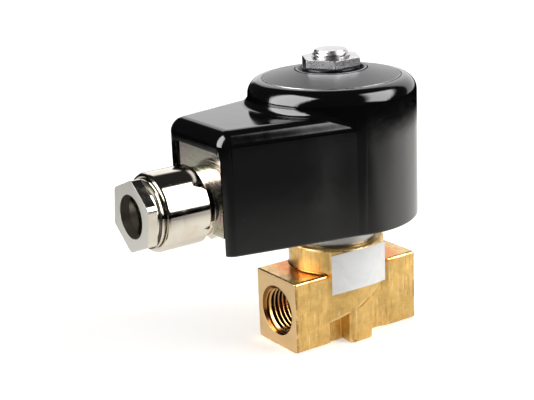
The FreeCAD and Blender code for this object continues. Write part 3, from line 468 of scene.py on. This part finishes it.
def dish_finish(tree, place, colours):
    """Dull zinc of the dished washer, darkened inside with painted shade and with a painted highlight
    along its rim.
    """
    rings = use(tree, "turned_marks", place, Scale=9000.0, Depth=0.000003)
    # the rim is painted bright as a highlight, the rest dark as painted shade
    rim = span(tree, from_axis(tree, *parts(tree, place)[:2]), 0.00905, 0.0093)
    dull = mix(tree, rings["Tone"], faded(colours.zinc, 0.14), faded(colours.zinc, 0.24))
    return look(mix(tree, rim, dull, faded(colours.zinc, 0.6)), 0.42, rings["Normal"])


def passivate_finish(tree, place, colours):
    """Yellow passivated sheet, brushed across and round, with a faint play of pink and green."""
    brushed = drawn_out(tree, place, (1.0, 0.05, 1.0))
    lines = use(tree, "fine_grain", brushed, Scale=5200.0, Depth=0.000003)
    film = noise(tree, place, 170.0, 3.0, 0.5, 1.5)
    scratch = span(tree, noise(tree, brushed, 2400.0, 2.0, 0.7), 0.60, 0.70, 0.0, 0.5)
    colour = mix(tree, span(tree, film, 0.35, 0.65), faded(colours.passivate), (0.56, 0.48, 0.46, 1))
    colour = mix(tree, scratch, colour, (0.24, 0.235, 0.19, 1))
    return look(colour, span(tree, lines["Tone"], 0.3, 0.7, 0.16, 0.28), lines["Normal"])


def nameplate_finish(tree, place, colours):
    """Grey anodised cone, brushed in circles, with a painted highlight on its cut rim."""
    rings = use(tree, "turned_marks", place, Scale=16000.0, Depth=0.000003)
    # the rim is painted bright as a highlight
    rim = span(tree, from_axis(tree, *parts(tree, place)[:2]), 0.01815, 0.01825)
    tone = mix(tree, rings["Tone"], faded(colours.nameplate, 0.75), faded(colours.nameplate, 1.25))
    around = put(tree, "ShaderNodeTangent", direction_type="RADIAL", axis="Z").outputs[0]
    return look(mix(tree, rim, tone, (0.45, 0.45, 0.45, 1)), 0.36, rings["Normal"], 0.95,
                Anisotropic=0.3, Tangent=around)


def label_finish(tree, place, colours):
    """Coated white paper with a faint fibre and soft creases."""
    fibre = use(tree, "fine_grain", place, Scale=2600.0, Depth=0.000006)
    marks = use(tree, "handling", place, Smudge_Scale=220.0)
    creases = bump(tree, noise(tree, place, 190.0, 3.0, 0.6, 0.8), 0.00012, fibre["Normal"])
    colour = mix(tree, marks["Smudge"], faded(colours.label), faded(colours.label, 0.93))
    return look(colour, span(tree, fibre["Tone"], 0.3, 0.7, 0.45, 0.6), creases, 0.0)


def copper_finish(tree, place, colours):
    """Lacquered copper wire laid in close turns."""
    turns = maths(tree, "SINE", times(tree, parts(tree, place)[2], 2 * math.pi / WIRE_PITCH))
    marks = use(tree, "handling", place, Smudge_Scale=400.0)
    colour = mix(tree, marks["Smudge"], faded(colours.copper), faded(colours.copper, 0.75))
    return look(colour, 0.3, bump(tree, turns, 0.00004), Coat_Weight=0.4)


def tape_finish(tree, place, colours):
    """Woven insulating tape."""
    across, depth, height = parts(tree, place)
    warp = maths(tree, "SINE", times(tree, maths(tree, "ARCTAN2", depth, across), TAPE_THREADS))
    weft = maths(tree, "SINE", times(tree, height, 2 * math.pi / TAPE_PITCH))
    weave = times(tree, warp, weft)
    colour = mix(tree, span(tree, weave, -1.0, 1.0), (0.62, 0.50, 0.22, 1), (0.78, 0.68, 0.40, 1))
    return look(colour, 0.7, bump(tree, weave, 0.00004), 0.0)


def tone(colours, chosen):
    """A colour given as it is, or as a main colour's name and a share of it."""
    return chosen if len(chosen) == 4 else faded(getattr(colours, chosen[0]), chosen[1])


def plain(effect, scale, depth, first, second, rough, metallic=1.0, draw=None):
    """Maker of a finish of one effect, whose tone runs between two colours; rough may be a pair."""
    def make(tree, place, colours):
        place = drawn_out(tree, place, draw) if draw else place
        marks = use(tree, effect, place, Scale=scale, Depth=depth)
        colour = mix(tree, marks["Tone"], tone(colours, first), tone(colours, second))
        level = rough if isinstance(rough, float) else span(tree, marks["Tone"], 0.3, 0.7, *rough)
        return look(colour, level, marks["Normal"], metallic)
    return make


def moulded(scale, depth, smudge, first, second, rough):
    """Maker of a plastic finish: a grained skin with smudges between two colours."""
    def make(tree, place, colours):
        marks = use(tree, "handling", place, Smudge_Scale=smudge)
        grain = use(tree, "fine_grain", place, Scale=scale, Depth=depth)
        colour = mix(tree, marks["Smudge"], tone(colours, first), tone(colours, second))
        return look(colour, rough, grain["Normal"], 0.0)
    return make


# nickel darkened by painted shade in the gland nut's hole, matt blasted nickel on its end, turned
# stainless steel, blued steel, rolled sheet steel, pale moulded plastic, matt black rubber, red lead
# insulation
nickel_bore_painted_shade = plain("fine_grain", 2600.0, 0.000004, ("nickel", 0.16), ("nickel", 0.26), 0.5)
nickel_face = plain("fine_grain", 3600.0, 0.000012, (0.52, 0.51, 0.48, 1), (0.60, 0.585, 0.55, 1), 0.42)
steel = plain("turned_marks", 9000.0, 0.000003, ("steel", 0.88), ("steel", 1.06), (0.22, 0.34))
ring_steel = plain("turned_marks", 7000.0, 0.000003, ("steel", 0.45), ("steel", 0.62), 0.3)
yoke = plain("fine_grain", 3000.0, 0.000004, ("steel", 0.7), ("steel", 0.9), (0.28, 0.42),
             draw=(1.0, 1.0, 0.06))
plastic = moulded(3200.0, 0.00001, 260.0, ("plastic", 1.0), ("plastic", 0.9), 0.42)
rubber = plain("fine_grain", 2800.0, 0.00002, ("rubber", 0.7), ("rubber", 1.5), 0.62, 0.0)
lead = moulded(1800.0, 0.000008, 300.0, (0.40, 0.035, 0.028, 1), (0.30, 0.025, 0.02, 1), 0.4)

# each finish's maker, its material and the record's slot where that has another name
FINISHES = {
    "enamel": (enamel_finish, "black_enamel"),
    "brass": (brass_finish, "forged_brass"),
    "thread": (thread_finish, "cut_brass", "forged_brass"),
    "nickel": (nickel_finish, "nickel_plate"),
    "nickel_bore_painted_shade": (nickel_bore_painted_shade, "nickel_bore_painted_shade", None),
    "nickel_face": (nickel_face, "nickel_face", None),
    "zinc": (zinc_finish, "zinc_plate", "zinc_steel"),
    "dish": (dish_finish, "zinc_with_painted_shade", "zinc_steel"),
    "passivate": (passivate_finish, "yellow_zinc"),
    "nameplate": (nameplate_finish, "grey_anodised"),
    "label": (label_finish, "paper_label", None),
    "steel": (steel, "stainless"),
    "ring_steel": (ring_steel, "ring_steel"),
    "yoke": (yoke, "yoke_steel"),
    "copper": (copper_finish, "copper"),
    "tape": (tape_finish, "tape"),
    "plastic": (plastic, "pale_plastic", None),
    "rubber": (rubber, "rubber"),
    "lead": (lead, "lead_insulation"),
}
made_finishes = {}


def new_material(name):
    """Material with a Principled shader; returns it, its tree and its shader."""
    material = bpy.data.materials.new(name)
    material.use_nodes = True
    tree = material.node_tree
    return material, tree, next(n for n in tree.nodes if n.type == "BSDF_PRINCIPLED")


def finish(name):
    """The named finish, built the first time that it is asked for."""
    if name not in made_finishes:
        make, material_name = FINISHES[name][:2]
        material, tree, shader = new_material(material_name)
        place = put(tree, "ShaderNodeTexCoord").outputs["Object"]
        fill(tree, shader.inputs, make(tree, place, bpy.context.scene.valve_colours))
        made_finishes[name] = material
    return made_finishes[name]


def coat(piece, name):
    """Give a piece one finish."""
    piece.data.materials.clear()
    piece.data.materials.append(finish(name))


def coat_nodes(**chosen):
    """Give CAD nodes that stay their finishes."""
    for node, name in chosen.items():
        CAD[node].data.materials.clear()
        CAD[node].data.materials.append(finish(name))


# ---------------------------------------------------------------- small tools for modelling
def only(obj):
    """Make one object the selected and active one."""
    bpy.ops.object.select_all(action="DESELECT")
    obj.select_set(True)
    bpy.context.view_layer.objects.active = obj


def primitive(name, add, **settings):
    """Add a primitive under a name, with all else deselected."""
    bpy.ops.object.select_all(action="DESELECT")
    add(**settings)
    piece = bpy.context.active_object
    piece.name = piece.data.name = name
    return piece


@contextlib.contextmanager
def editing():
    """Edit mode on the active object, with all of it selected."""
    bpy.ops.object.mode_set(mode="EDIT")
    bpy.ops.mesh.select_all(action="SELECT")
    yield
    bpy.ops.object.mode_set(mode="OBJECT")


def apply(obj, kind, **settings):
    """Add a modifier, set it and apply it."""
    only(obj)
    modifier = obj.modifiers.new(kind.title(), kind)
    for name, value in settings.items():
        setattr(modifier, name, value)
    bpy.ops.object.modifier_apply(modifier=modifier.name)


def smooth_copy(node, name, finish_name, edge=0.0):
    """Merged, smooth copy of a CAD node that stands for it, with its edges lightly rounded."""
    source = CAD[node]
    piece = bpy.data.objects.new(name, source.data.copy())
    bpy.context.scene.collection.objects.link(piece)
    piece.data.name = name
    only(piece)
    with editing():
        bpy.ops.mesh.customdata_custom_splitnormals_clear()
        bpy.ops.mesh.remove_doubles(threshold=0.002 * MM)
        bpy.ops.mesh.dissolve_limited(angle_limit=math.radians(0.2))
    if edge:
        apply(piece, "BEVEL", width=edge, segments=2, limit_method="ANGLE",
              angle_limit=SMOOTH_ANGLE, use_clamp_overlap=True, loop_slide=False)
    shade(piece)
    coat(piece, finish_name)
    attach(piece, source["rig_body"])
    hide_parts(node)
    return piece


def shade(piece):
    """Smooth a piece up to its sharp edges, with flat faces kept flat."""
    only(piece)
    bpy.ops.object.shade_smooth_by_angle(angle=SMOOTH_ANGLE)
    apply(piece, "WEIGHTED_NORMAL", mode="FACE_AREA", weight=50, keep_sharp=True)


def soften(piece, grid, passes):
    """Give a forging its rounded edges and hollow blends: an even mesh, relaxed a little."""
    apply(piece, "REMESH", mode="VOXEL", voxel_size=grid, adaptivity=0.0)
    apply(piece, "SMOOTH", factor=0.5, iterations=passes)
    apply(piece, "DECIMATE", decimate_type="COLLAPSE", ratio=0.5)
    only(piece)
    bpy.ops.object.shade_smooth()


def mark_hollows(piece, passes):
    """Note on each point how hollow the skin is there: above 0 in a blend, below 0 on an edge."""
    mesh = bmesh.new()
    mesh.from_mesh(piece.data)
    near = [[edge.other_vert(vertex).index for edge in vertex.link_edges] for vertex in mesh.verts]
    bends = []
    for vertex in mesh.verts:
        steps = [edge.other_vert(vertex).co - vertex.co for edge in vertex.link_edges]
        rise = sum(steps, Vector()).dot(vertex.normal)
        bends.append(rise / sum(step.length for step in steps))
    mesh.free()
    for _ in range(passes):
        bends = [(bend + sum(bends[k] for k in ring)) / (len(ring) + 1)
                 for bend, ring in zip(bends, near)]
    piece.data.attributes.new(HOLLOW, "FLOAT", "POINT").data.foreach_set("value", bends)


def helix_tooth(name, root, crest, pitch, length, half_root, half_crest):
    """Thread's tooth: a closed bar wound round +Z, from a little under 0 to a little over length."""
    turns = math.ceil(length / pitch) + 1
    tooth = primitive(name, bpy.ops.mesh.primitive_plane_add, size=1.0)
    corners = ((root, -half_root), (crest, -half_crest), (crest, half_crest), (root, half_root))
    order = [tooth.data.vertices[k] for k in tooth.data.polygons[0].vertices]
    for vertex, (radius, height) in zip(order, corners):
        vertex.co = (radius, 0, height - pitch / 2)
    with editing():
        bpy.ops.mesh.delete(type="ONLY_FACE")
    apply(tooth, "SCREW", axis="Z", angle=2 * math.pi, screw_offset=pitch, iterations=turns,
          steps=48, render_steps=48, use_merge_vertices=False)
    with editing():
        bpy.ops.mesh.remove_doubles(threshold=0.001 * MM)
        bpy.ops.mesh.select_all(action="DESELECT")
        bpy.ops.mesh.select_non_manifold()
        bpy.ops.mesh.fill_holes(sides=4)
        bpy.ops.mesh.select_all(action="SELECT")
        bpy.ops.mesh.normals_make_consistent(inside=False)
    return tooth


def run_out(tooth, length, limit):
    """Keep a tooth between height 0 and its length, and its radius within limit(height, radius)."""
    for vertex in tooth.data.vertices:
        height = min(max(vertex.co.z, 0.0), length)
        reach = math.hypot(vertex.co.x, vertex.co.y)
        share = limit(height, reach) / reach
        vertex.co = (vertex.co.x * share, vertex.co.y * share, height)


def place_tooth(tooth, matrix, finish_name):
    """Shade and finish a tooth of the body or the core, and put its mesh in its place."""
    only(tooth)
    bpy.ops.object.shade_smooth_by_angle(angle=math.radians(25))
    tooth.data.transform(matrix)
    coat(tooth, finish_name)
    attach(tooth, "valve_base")


# ---------------------------------------------------------------- pieces
class VALVE_OT_housing(bpy.types.Operator):
    """Enamelled coil housing"""

    bl_idname = "valve.housing"
    bl_label = "Coil housing"

    def execute(self, context):
        smooth_copy("housing_shell", "coil_housing", "enamel")
        return {"FINISHED"}


class VALVE_OT_body(bpy.types.Operator):
    """Forged brass body"""

    bl_idname = "valve.body"
    bl_label = "Forged body"

    def execute(self, context):
        sizes = context.scene.valve_sizes
        piece = smooth_copy("valve_body", "forged_body", "brass")
        soften(piece, sizes.forging_grid, sizes.forging_passes)
        mark_hollows(piece, sizes.wear_and_shade_passes)
        return {"FINISHED"}


def thread_hole(mount, pitch, height, mouth):
    """Thread of a mount's hole, from its mouth inwards, run out on the mouth's chamfer."""
    radius = mount["dims"]["r_mm"] * MM
    root = radius + OVERLAP
    length = mount["dims"]["length_mm"] * MM
    tooth = helix_tooth(mount["name"] + "_thread", root, radius - height, pitch, length,
                        pitch * 0.49, pitch * 0.09)
    run_out(tooth, length, lambda z, r: max(r, radius + mouth - z, root - (length - z)))
    inwards = (-Vector(mount["axis"])).to_track_quat("Z", "Y").to_matrix().to_4x4()
    place_tooth(tooth, Matrix.Translation(mount["pos_m"]) @ inwards, "thread")


class VALVE_OT_threads(bpy.types.Operator):
    """Threads in both ports and both fixing holes"""

    bl_idname = "valve.threads"
    bl_label = "Threaded holes"

    def execute(self, context):
        sizes = context.scene.valve_sizes
        for name in ("inlet_port", "outlet_port"):
            thread_hole(MOUNTS[name], sizes.port_pitch, sizes.port_tooth, sizes.port_chamfer)
        for name in ("fixing_hole_front", "fixing_hole_back"):
            thread_hole(MOUNTS[name], sizes.fixing_pitch, sizes.fixing_tooth, 0.0)
        return {"FINISHED"}


class VALVE_OT_stage(bpy.types.Operator):
    """Floor, room light, soft lamps and the camera"""

    bl_idname = "valve.stage"
    bl_label = "Studio"

    def execute(self, context):
        studio = context.scene.valve_studio
        make_floor()
        make_room(studio)
        make_lamp("key_lamp", (-47, 40), 1.1, 0.7, studio.key_power)
        make_lamp("fill_lamp", (164, 40), 1.1, 0.8, studio.fill_power)
        make_camera()
        context.scene.view_settings.view_transform = "Standard"
        return {"FINISHED"}


def make_floor():
    """Wide floor: white to the camera apart from the shadow, with light painted on it near the valve
    that only reflections see.
    """
    floor = primitive("floor", bpy.ops.mesh.primitive_plane_add, size=6.0,
                      location=(0, 0, -0.02 * MM))
    material, tree, shader = new_material("studio_floor")
    path = put(tree, "ShaderNodeLightPath").outputs
    across, depth = parts(tree, put(tree, "ShaderNodeTexCoord").outputs["Object"])[:2]

    # painted pool of light near the valve, seen only in gloss, in two steps from the front, darker to
    # the back and to the left
    front = maths(tree, "MULTIPLY_ADD", across, 0.35, depth)
    back = maths(tree, "MULTIPLY_ADD", across, -1.2, depth)
    near = maths(tree, "ADD", span(tree, front, -0.20, -0.10, 0.0, 0.5),
                 span(tree, front, -0.13, -0.05, 0.0, 0.5))
    near = times(tree, near, span(tree, back, 0.16, 0.30, 1.0, 0.45),
                 span(tree, across, -0.26, -0.16))

    # painted lit patch at the right, painted lit line in front, and the far end of all three
    right = times(tree, span(tree, across, 0.02, 0.085), span(tree, depth, 0.06, -0.06))
    from_line = maths(tree, "ABSOLUTE", maths(tree, "ADD", maths(tree, "MULTIPLY_ADD", depth, 0.22,
                                                                 across), 0.024))
    line = times(tree, span(tree, from_line, 0.007, 0.001), span(tree, depth, -0.10, -0.16))
    reach = span(tree, from_axis(tree, across, depth), 0.290, 0.235)

    sheet = mix(tree, near, (0.16, 0.16, 0.16, 1), (0.80, 0.785, 0.745, 1))
    sheet = mix(tree, reach, (0, 0, 0, 1), sheet)
    painted_glow = maths(tree, "MULTIPLY_ADD", right, 0.66, times(tree, near, 0.46))
    painted_glow = maths(tree, "MULTIPLY_ADD", line, 0.30, painted_glow)
    painted_glow = times(tree, path["Is Glossy Ray"], reach, painted_glow)
    fill(tree, shader.inputs, {
        "Base Color": mix(tree, path["Is Glossy Ray"], (0.88, 0.88, 0.88, 1), sheet),
        "Roughness": 0.8, "Specular IOR Level": 0.0, "Emission Color": (1, 0.985, 0.95, 1),
        "Emission Strength": maths(tree, "MULTIPLY_ADD", path["Is Camera Ray"], 0.42, painted_glow)})
    floor.data.materials.append(material)


def aim(azimuth, elevation):
    """Unit vector towards an azimuth from +X and a height above the horizon, in degrees."""
    azimuth, elevation = math.radians(azimuth), math.radians(elevation)
    return Vector((math.cos(azimuth) * math.cos(elevation), math.sin(azimuth) * math.cos(elevation),
                   math.sin(elevation)))


def card_axes(tree, direction, centre, turn):
    """Places across and up a flat card that faces the valve, and how squarely it is met."""
    middle = aim(*centre)
    side = PLUS_Z.cross(middle).normalized()
    rise = middle.cross(side)
    turn = math.radians(turn)
    across = side * math.cos(turn) + rise * math.sin(turn)
    upward = rise * math.cos(turn) - side * math.sin(turn)
    ahead, wide, tall = (vectors(tree, "DOT_PRODUCT", direction, axis).outputs["Value"]
                         for axis in (middle, across, upward))
    ahead = maths(tree, "MAXIMUM", ahead, 0.02)
    return (maths(tree, "DIVIDE", wide, ahead), maths(tree, "DIVIDE", tall, ahead),
            span(tree, ahead, 0.05, 0.2))


def soft_card(tree, direction, centre, turn, half_across, half_up, soft):
    """Mask of a soft-edged rectangular card."""
    across, upward, seen = card_axes(tree, direction, centre, turn)
    wide = span(tree, maths(tree, "ABSOLUTE", across), half_across + soft, half_across - soft)
    tall = span(tree, maths(tree, "ABSOLUTE", upward), half_up + soft, half_up - soft)
    return times(tree, wide, tall, seen)


def paper_sweep(tree, direction):
    """Mask of the lit paper behind the valve, cut on a slant at its left."""
    across, upward, seen = card_axes(tree, direction, (28, 18), 0)
    wide = times(tree, span(tree, across, -1.15, -1.0), span(tree, across, 0.98, 0.78))
    slant = maths(tree, "SUBTRACT", upward, times(tree, across, 1.28))
    tall = times(tree, span(tree, upward, 0.52, 0.36), span(tree, slant, 0.72, 0.52))
    return times(tree, wide, tall, seen)


def make_room(studio):
    """White room to the camera, even light for matt surfaces, two soft boxes and paper in gloss."""
    world = bpy.data.worlds.new("studio_room")
    bpy.context.scene.world = world
    world.use_nodes = True
    tree = world.node_tree
    tree.nodes.clear()
    direction = put(tree, "ShaderNodeTexCoord").outputs["Generated"]
    right_box = soft_card(tree, direction, (-47, 34), 54, 0.56, 0.32, 0.10)
    left_box = soft_card(tree, direction, (164, 28), 0, 0.42, 0.80, 0.10)
    light = studio.dark_room
    for mask, level in ((right_box, studio.right_box), (left_box, studio.left_box),
                        (paper_sweep(tree, direction), studio.paper)):
        light = maths(tree, "MULTIPLY_ADD", mask, level, light)
    path = put(tree, "ShaderNodeLightPath").outputs
    shiny = maths(tree, "MAXIMUM", path["Is Glossy Ray"], path["Is Transmission Ray"])
    level = put(tree, "ShaderNodeMix", {0: shiny, 2: studio.ambient, 3: light}).outputs[0]
    level = put(tree, "ShaderNodeMix", {0: path["Is Camera Ray"], 2: level, 3: 1.0}).outputs[0]
    sky = put(tree, "ShaderNodeBackground", {"Color": (1, 1, 1, 1), "Strength": level})
    put(tree, "ShaderNodeOutputWorld", {"Surface": sky.outputs[0]})


def make_lamp(name, direction, distance, size, power):
    """Soft square lamp that matt surfaces see, aimed at the valve from an azimuth and a height."""
    away = aim(*direction)
    data = bpy.data.lights.new(name, "AREA")
    data.size = size
    data.energy = power
    lamp = bpy.data.objects.new(name, data)
    bpy.context.scene.collection.objects.link(lamp)
    lamp.location = Vector((-0.01, 0, 0.035)) + away * distance
    lamp.rotation_euler = away.to_track_quat("Z", "Y").to_euler()
    lamp.visible_glossy = False


def make_camera():
    """Camera at the photograph's angle: from the front left, a little above."""
    azimuth, elevation, roll = -33.6, 16.87, math.radians(-2.49)
    level = aim(azimuth, 0)
    back = aim(azimuth - 90, elevation)
    up = back.cross(level)
    right = level * math.cos(roll) + up * math.sin(roll)
    top = up * math.cos(roll) - level * math.sin(roll)
    place = right * -20.04 * MM + top * 35.46 * MM + back * 363.02 * MM
    data = bpy.data.cameras.new("photo_camera")
    data.sensor_width = 36.0
    data.lens = 86.89
    data.clip_start = 0.01
    camera = bpy.data.objects.new("photo_camera", data)
    bpy.context.scene.collection.objects.link(camera)
    camera.matrix_world = Matrix.Translation(place) @ Matrix((right, top, back)).transposed().to_4x4()
    bpy.context.scene.camera = camera


class VALVE_OT_stud(bpy.types.Operator):
    """Fixed core with its threaded stud"""

    bl_idname = "valve.stud"
    bl_label = "Stud and core"

    def execute(self, context):
        sizes = context.scene.valve_sizes
        length, crest, tip = 9.0 * MM, 5.0 * MM, 4.05 * MM
        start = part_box("fixed_core")[1].z - length
        root = crest - sizes.stud_tooth
        step = 0.1 * MM
        piece = smooth_copy("fixed_core", "core_and_stud", "zinc")
        with editing():
            for height in (start, start + step):
                bpy.ops.mesh.select_all(action="SELECT")
                bpy.ops.mesh.bisect(plane_co=(0, 0, height), plane_no=PLUS_Z)
        for vertex in piece.data.vertices:
            reach = math.hypot(vertex.co.x, vertex.co.y)
            if vertex.co.z > start + step / 2 and reach > root:
                vertex.co.x *= root / reach
                vertex.co.y *= root / reach
        bpy.ops.object.shade_smooth_by_angle(angle=SMOOTH_ANGLE)
        foot = root - OVERLAP
        tooth = helix_tooth("stud_thread", foot, crest, sizes.stud_pitch, length,
                            sizes.stud_pitch * 0.48, sizes.stud_pitch * 0.07)
        run_out(tooth, length, lambda z, r: min(r, foot + z, tip + length - z))
        place_tooth(tooth, Matrix.Translation((0, 0, start)), "zinc")
        return {"FINISHED"}


class VALVE_OT_top(bpy.types.Operator):
    """Blank nameplate, dish washer, lock washer and nut on the top"""

    bl_idname = "valve.top"
    bl_label = "Top hardware"

    def execute(self, context):
        edge = context.scene.valve_sizes.edge_round
        smooth_copy("nameplate", "blank_nameplate", "nameplate", edge)
        smooth_copy("dish_washer", "pressed_washer", "dish", edge)
        smooth_copy("lock_washer", "split_washer", "zinc", edge)
        smooth_copy("top_nut", "thin_nut", "zinc", edge)
        return {"FINISHED"}


def hexagon_ring(name, hole, thickness, sizes):
    """Hexagonal ring on +Z with a corner along X: a round ring whose outside is drawn out to flats."""
    ring = primitive(name, bpy.ops.mesh.primitive_cylinder_add, vertices=120, radius=hole,
                     depth=thickness, end_fill_type="NOTHING")
    wall = 1.0 * MM
    apply(ring, "SOLIDIFY", thickness=wall, offset=1.0)
    for vertex in ring.data.vertices:
        reach = math.hypot(vertex.co.x, vertex.co.y)
        if reach > hole + wall / 2:
            turn = math.atan2(vertex.co.y, vertex.co.x) % (math.pi / 3) - math.pi / 6
            share = min(sizes.gland_flats / 2 / math.cos(turn), sizes.gland_corner) / reach
            vertex.co = (vertex.co.x * share, vertex.co.y * share, vertex.co.z)
    apply(ring, "BEVEL", width=sizes.edge_round, segments=2, limit_method="ANGLE",
          angle_limit=math.radians(40))
    return ring


def drop_head(nut, back):
    """Take off all of the nut in front of a place along X, and close what is left."""
    with editing():
        bpy.ops.mesh.select_mode(type="VERT")
        bpy.ops.mesh.select_all(action="DESELECT")
        mesh = bmesh.from_edit_mesh(nut.data)
        for vertex in mesh.verts:
            vertex.select = vertex.co.x < back
        bmesh.update_edit_mesh(nut.data)
        bpy.ops.mesh.delete(type="VERT")
        bpy.ops.mesh.select_non_manifold()
        bpy.ops.mesh.bridge_edge_loops()


def sharp_head(nut, sizes):
    """Swap the nut's head for a hexagon whose corners are hardly turned off."""
    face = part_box("gland_nut")[0].x
    drop_head(nut, face + sizes.gland_head + 0.01 * MM)
    hole = MOUNTS["cable_entry"]["dims"]["r_mm"] * MM
    depth = sizes.gland_head + 0.05 * MM
    head = hexagon_ring("gland_head", hole, depth, sizes)
    turned = Matrix.Rotation(sizes.gland_turn, 4, "X") @ Matrix.Rotation(math.radians(-90), 4, "Y")
    head.data.transform(Matrix.Translation((face + depth / 2, 0, GLAND_HEIGHT)) @ turned)
    head.data.materials.append(finish("nickel"))
    only(nut)
    head.select_set(True)
    bpy.ops.object.join()
    shade(nut)
    nut.data.materials.append(finish("nickel_face"))
    nut.data.materials.append(finish("nickel_bore_painted_shade"))
    for side in nut.data.polygons:
        if side.center.x < face + 0.05 * MM:
            side.material_index = 1
        # faces in the hole take the nickel darkened with painted shade
        elif math.hypot(side.center.y, side.center.z - GLAND_HEIGHT) < hole + 0.1 * MM:
            side.material_index = 2


class VALVE_OT_gland(bpy.types.Operator):
    """Nickel cable gland with its nuts and rubber insert"""

    bl_idname = "valve.gland"
    bl_label = "Cable gland"

    def execute(self, context):
        edge = context.scene.valve_sizes.edge_round
        smooth_copy("gland_body", "gland_barrel", "nickel")
        nut = smooth_copy("gland_nut", "gland_hex_nut", "nickel", edge)
        sharp_head(nut, context.scene.valve_sizes)
        smooth_copy("gland_lock_nut", "gland_back_nut", "nickel", edge)
        smooth_copy("gland_thrust_washer", "gland_slip_washer", "nickel")
        smooth_copy("gland_grommet", "gland_rubber", "rubber")
        smooth_copy("gland_seal_washer", "gland_flat_seal", "passivate", edge)
        return {"FINISHED"}


class VALVE_OT_box(bpy.types.Operator):
    """Bracket, earth screw and terminal block in the housing's box"""

    bl_idname = "valve.box"
    bl_label = "Terminal box"

    def execute(self, context):
        edge = context.scene.valve_sizes.edge_round
        smooth_copy("gland_bracket", "gland_plate", "passivate", edge)
        smooth_copy("earth_screw", "earth_terminal_screw", "zinc", edge)
        smooth_copy("earth_washer", "earth_terminal_washer", "zinc", edge)
        smooth_copy("terminal_block", "wire_block", "plastic", edge)
        coat_nodes(terminal_clamps="thread", terminal_screws="zinc", block_screws="zinc")
        smooth_copy("coil_leads", "lead_wires", "lead")
        return {"FINISHED"}


class VALVE_OT_coil(bpy.types.Operator):
    """Coil, yoke and covers inside the housing"""

    bl_idname = "valve.coil"
    bl_label = "Coil and yoke"

    def execute(self, context):
        edge = context.scene.valve_sizes.edge_round
        smooth_copy("bottom_cover", "coil_base_cover", "ring_steel", edge)
        coat_nodes(yoke_frame="yoke", yoke_top_plate="yoke", coil_bobbin="plastic",
                   coil_winding="copper", winding_tape="tape", spacer_bush="zinc")
        return {"FINISHED"}


class VALVE_OT_armature(bpy.types.Operator):
    """Armature tube, screw ring, plunger and seals"""

    bl_idname = "valve.armature"
    bl_label = "Armature"

    def execute(self, context):
        edge = context.scene.valve_sizes.edge_round
        smooth_copy("screw_ring", "armature_screw_ring", "ring_steel", edge)
        smooth_copy("armature_tube", "steel_tube", "steel")
        smooth_copy("plunger", "steel_plunger", "steel", edge)
        spring = smooth_copy("plunger_spring", "return_spring", "steel")
        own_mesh(spring)
        smooth_copy("body_o_ring", "rubber_ring", "rubber")
        coat_nodes(plunger_seal="rubber", shading_ring="copper")
        return {"FINISHED"}


class VALVE_OT_label(bpy.types.Operator):
    """Blank paper label wrapped round the front of the hub and on to the right block"""

    bl_idname = "valve.label"
    bl_label = "Label"

    def execute(self, context):
        hub = 13.20 * MM
        start, leave = math.radians(-132.4), math.radians(-62.0)
        turn = Vector((hub * math.cos(leave), hub * math.sin(leave), 0))
        end = Vector((9.5, -9.45, 0)) * MM
        foot, height, sag = 15.8 * MM, 11.05 * MM, 6.1 * MM
        wrapped = hub * (leave - start)
        free = (end - turn).length
        label = primitive("blank_label", bpy.ops.mesh.primitive_grid_add, x_subdivisions=60,
                          y_subdivisions=24, size=1.0)
        for vertex in label.data.vertices:
            aside, upward = vertex.co.x, vertex.co.y + 0.5
            along = (aside + 0.5) * (wrapped + free)
            if along < wrapped:
                angle = start + along / hub
                point = Vector((hub * math.cos(angle), hub * math.sin(angle), 0))
            else:
                point = turn.lerp(end, (along - wrapped) / free)
            point.z = foot + height * upward - sag * aside ** 2
            vertex.co = point
        apply(label, "SOLIDIFY", offset=1.0, thickness=context.scene.valve_sizes.label_thickness)
        bpy.ops.object.shade_smooth_by_angle(angle=math.radians(40))
        coat(label, "label")
        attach(label, "valve_base")
        return {"FINISHED"}


# ---------------------------------------------------------------- panel and registration
STEPS = (VALVE_OT_stage, VALVE_OT_housing, VALVE_OT_body, VALVE_OT_threads, VALVE_OT_stud,
         VALVE_OT_top, VALVE_OT_gland, VALVE_OT_box, VALVE_OT_coil, VALVE_OT_armature,
         VALVE_OT_label)


class VALVE_PT_panel(bpy.types.Panel):
    """Buttons for every piece of the valve"""

    bl_idname = "VALVE_PT_panel"
    bl_label = "Solenoid valve"
    bl_space_type = "VIEW_3D"
    bl_region_type = "UI"
    bl_category = "Valve"

    def draw(self, context):
        for name, group in SETTINGS.items():
            for setting in group.__annotations__:
                self.layout.prop(getattr(context.scene, name), setting)
        for step in STEPS:
            self.layout.operator(step.bl_idname)


SETTINGS = {"valve_sizes": ValveSizes, "valve_colours": ValveColours, "valve_studio": ValveStudio}
CLASSES = (*SETTINGS.values(), *STEPS, VALVE_PT_panel)


def register():
    """Register the classes and the scene's settings."""
    for item in CLASSES:
        bpy.utils.register_class(item)
    for name, group in SETTINGS.items():
        setattr(bpy.types.Scene, name, bpy.props.PointerProperty(type=group))


def unregister():
    """Remove what register added."""
    for name in SETTINGS:
        delattr(bpy.types.Scene, name)
    for item in reversed(CLASSES):
        bpy.utils.unregister_class(item)


def main():
    """Register the settings, then build every piece and the studio."""
    register()
    for step in STEPS:
        family, name = step.bl_idname.split(".")
        getattr(getattr(bpy.ops, family), name)()


if __name__ == "__main__":
    main()
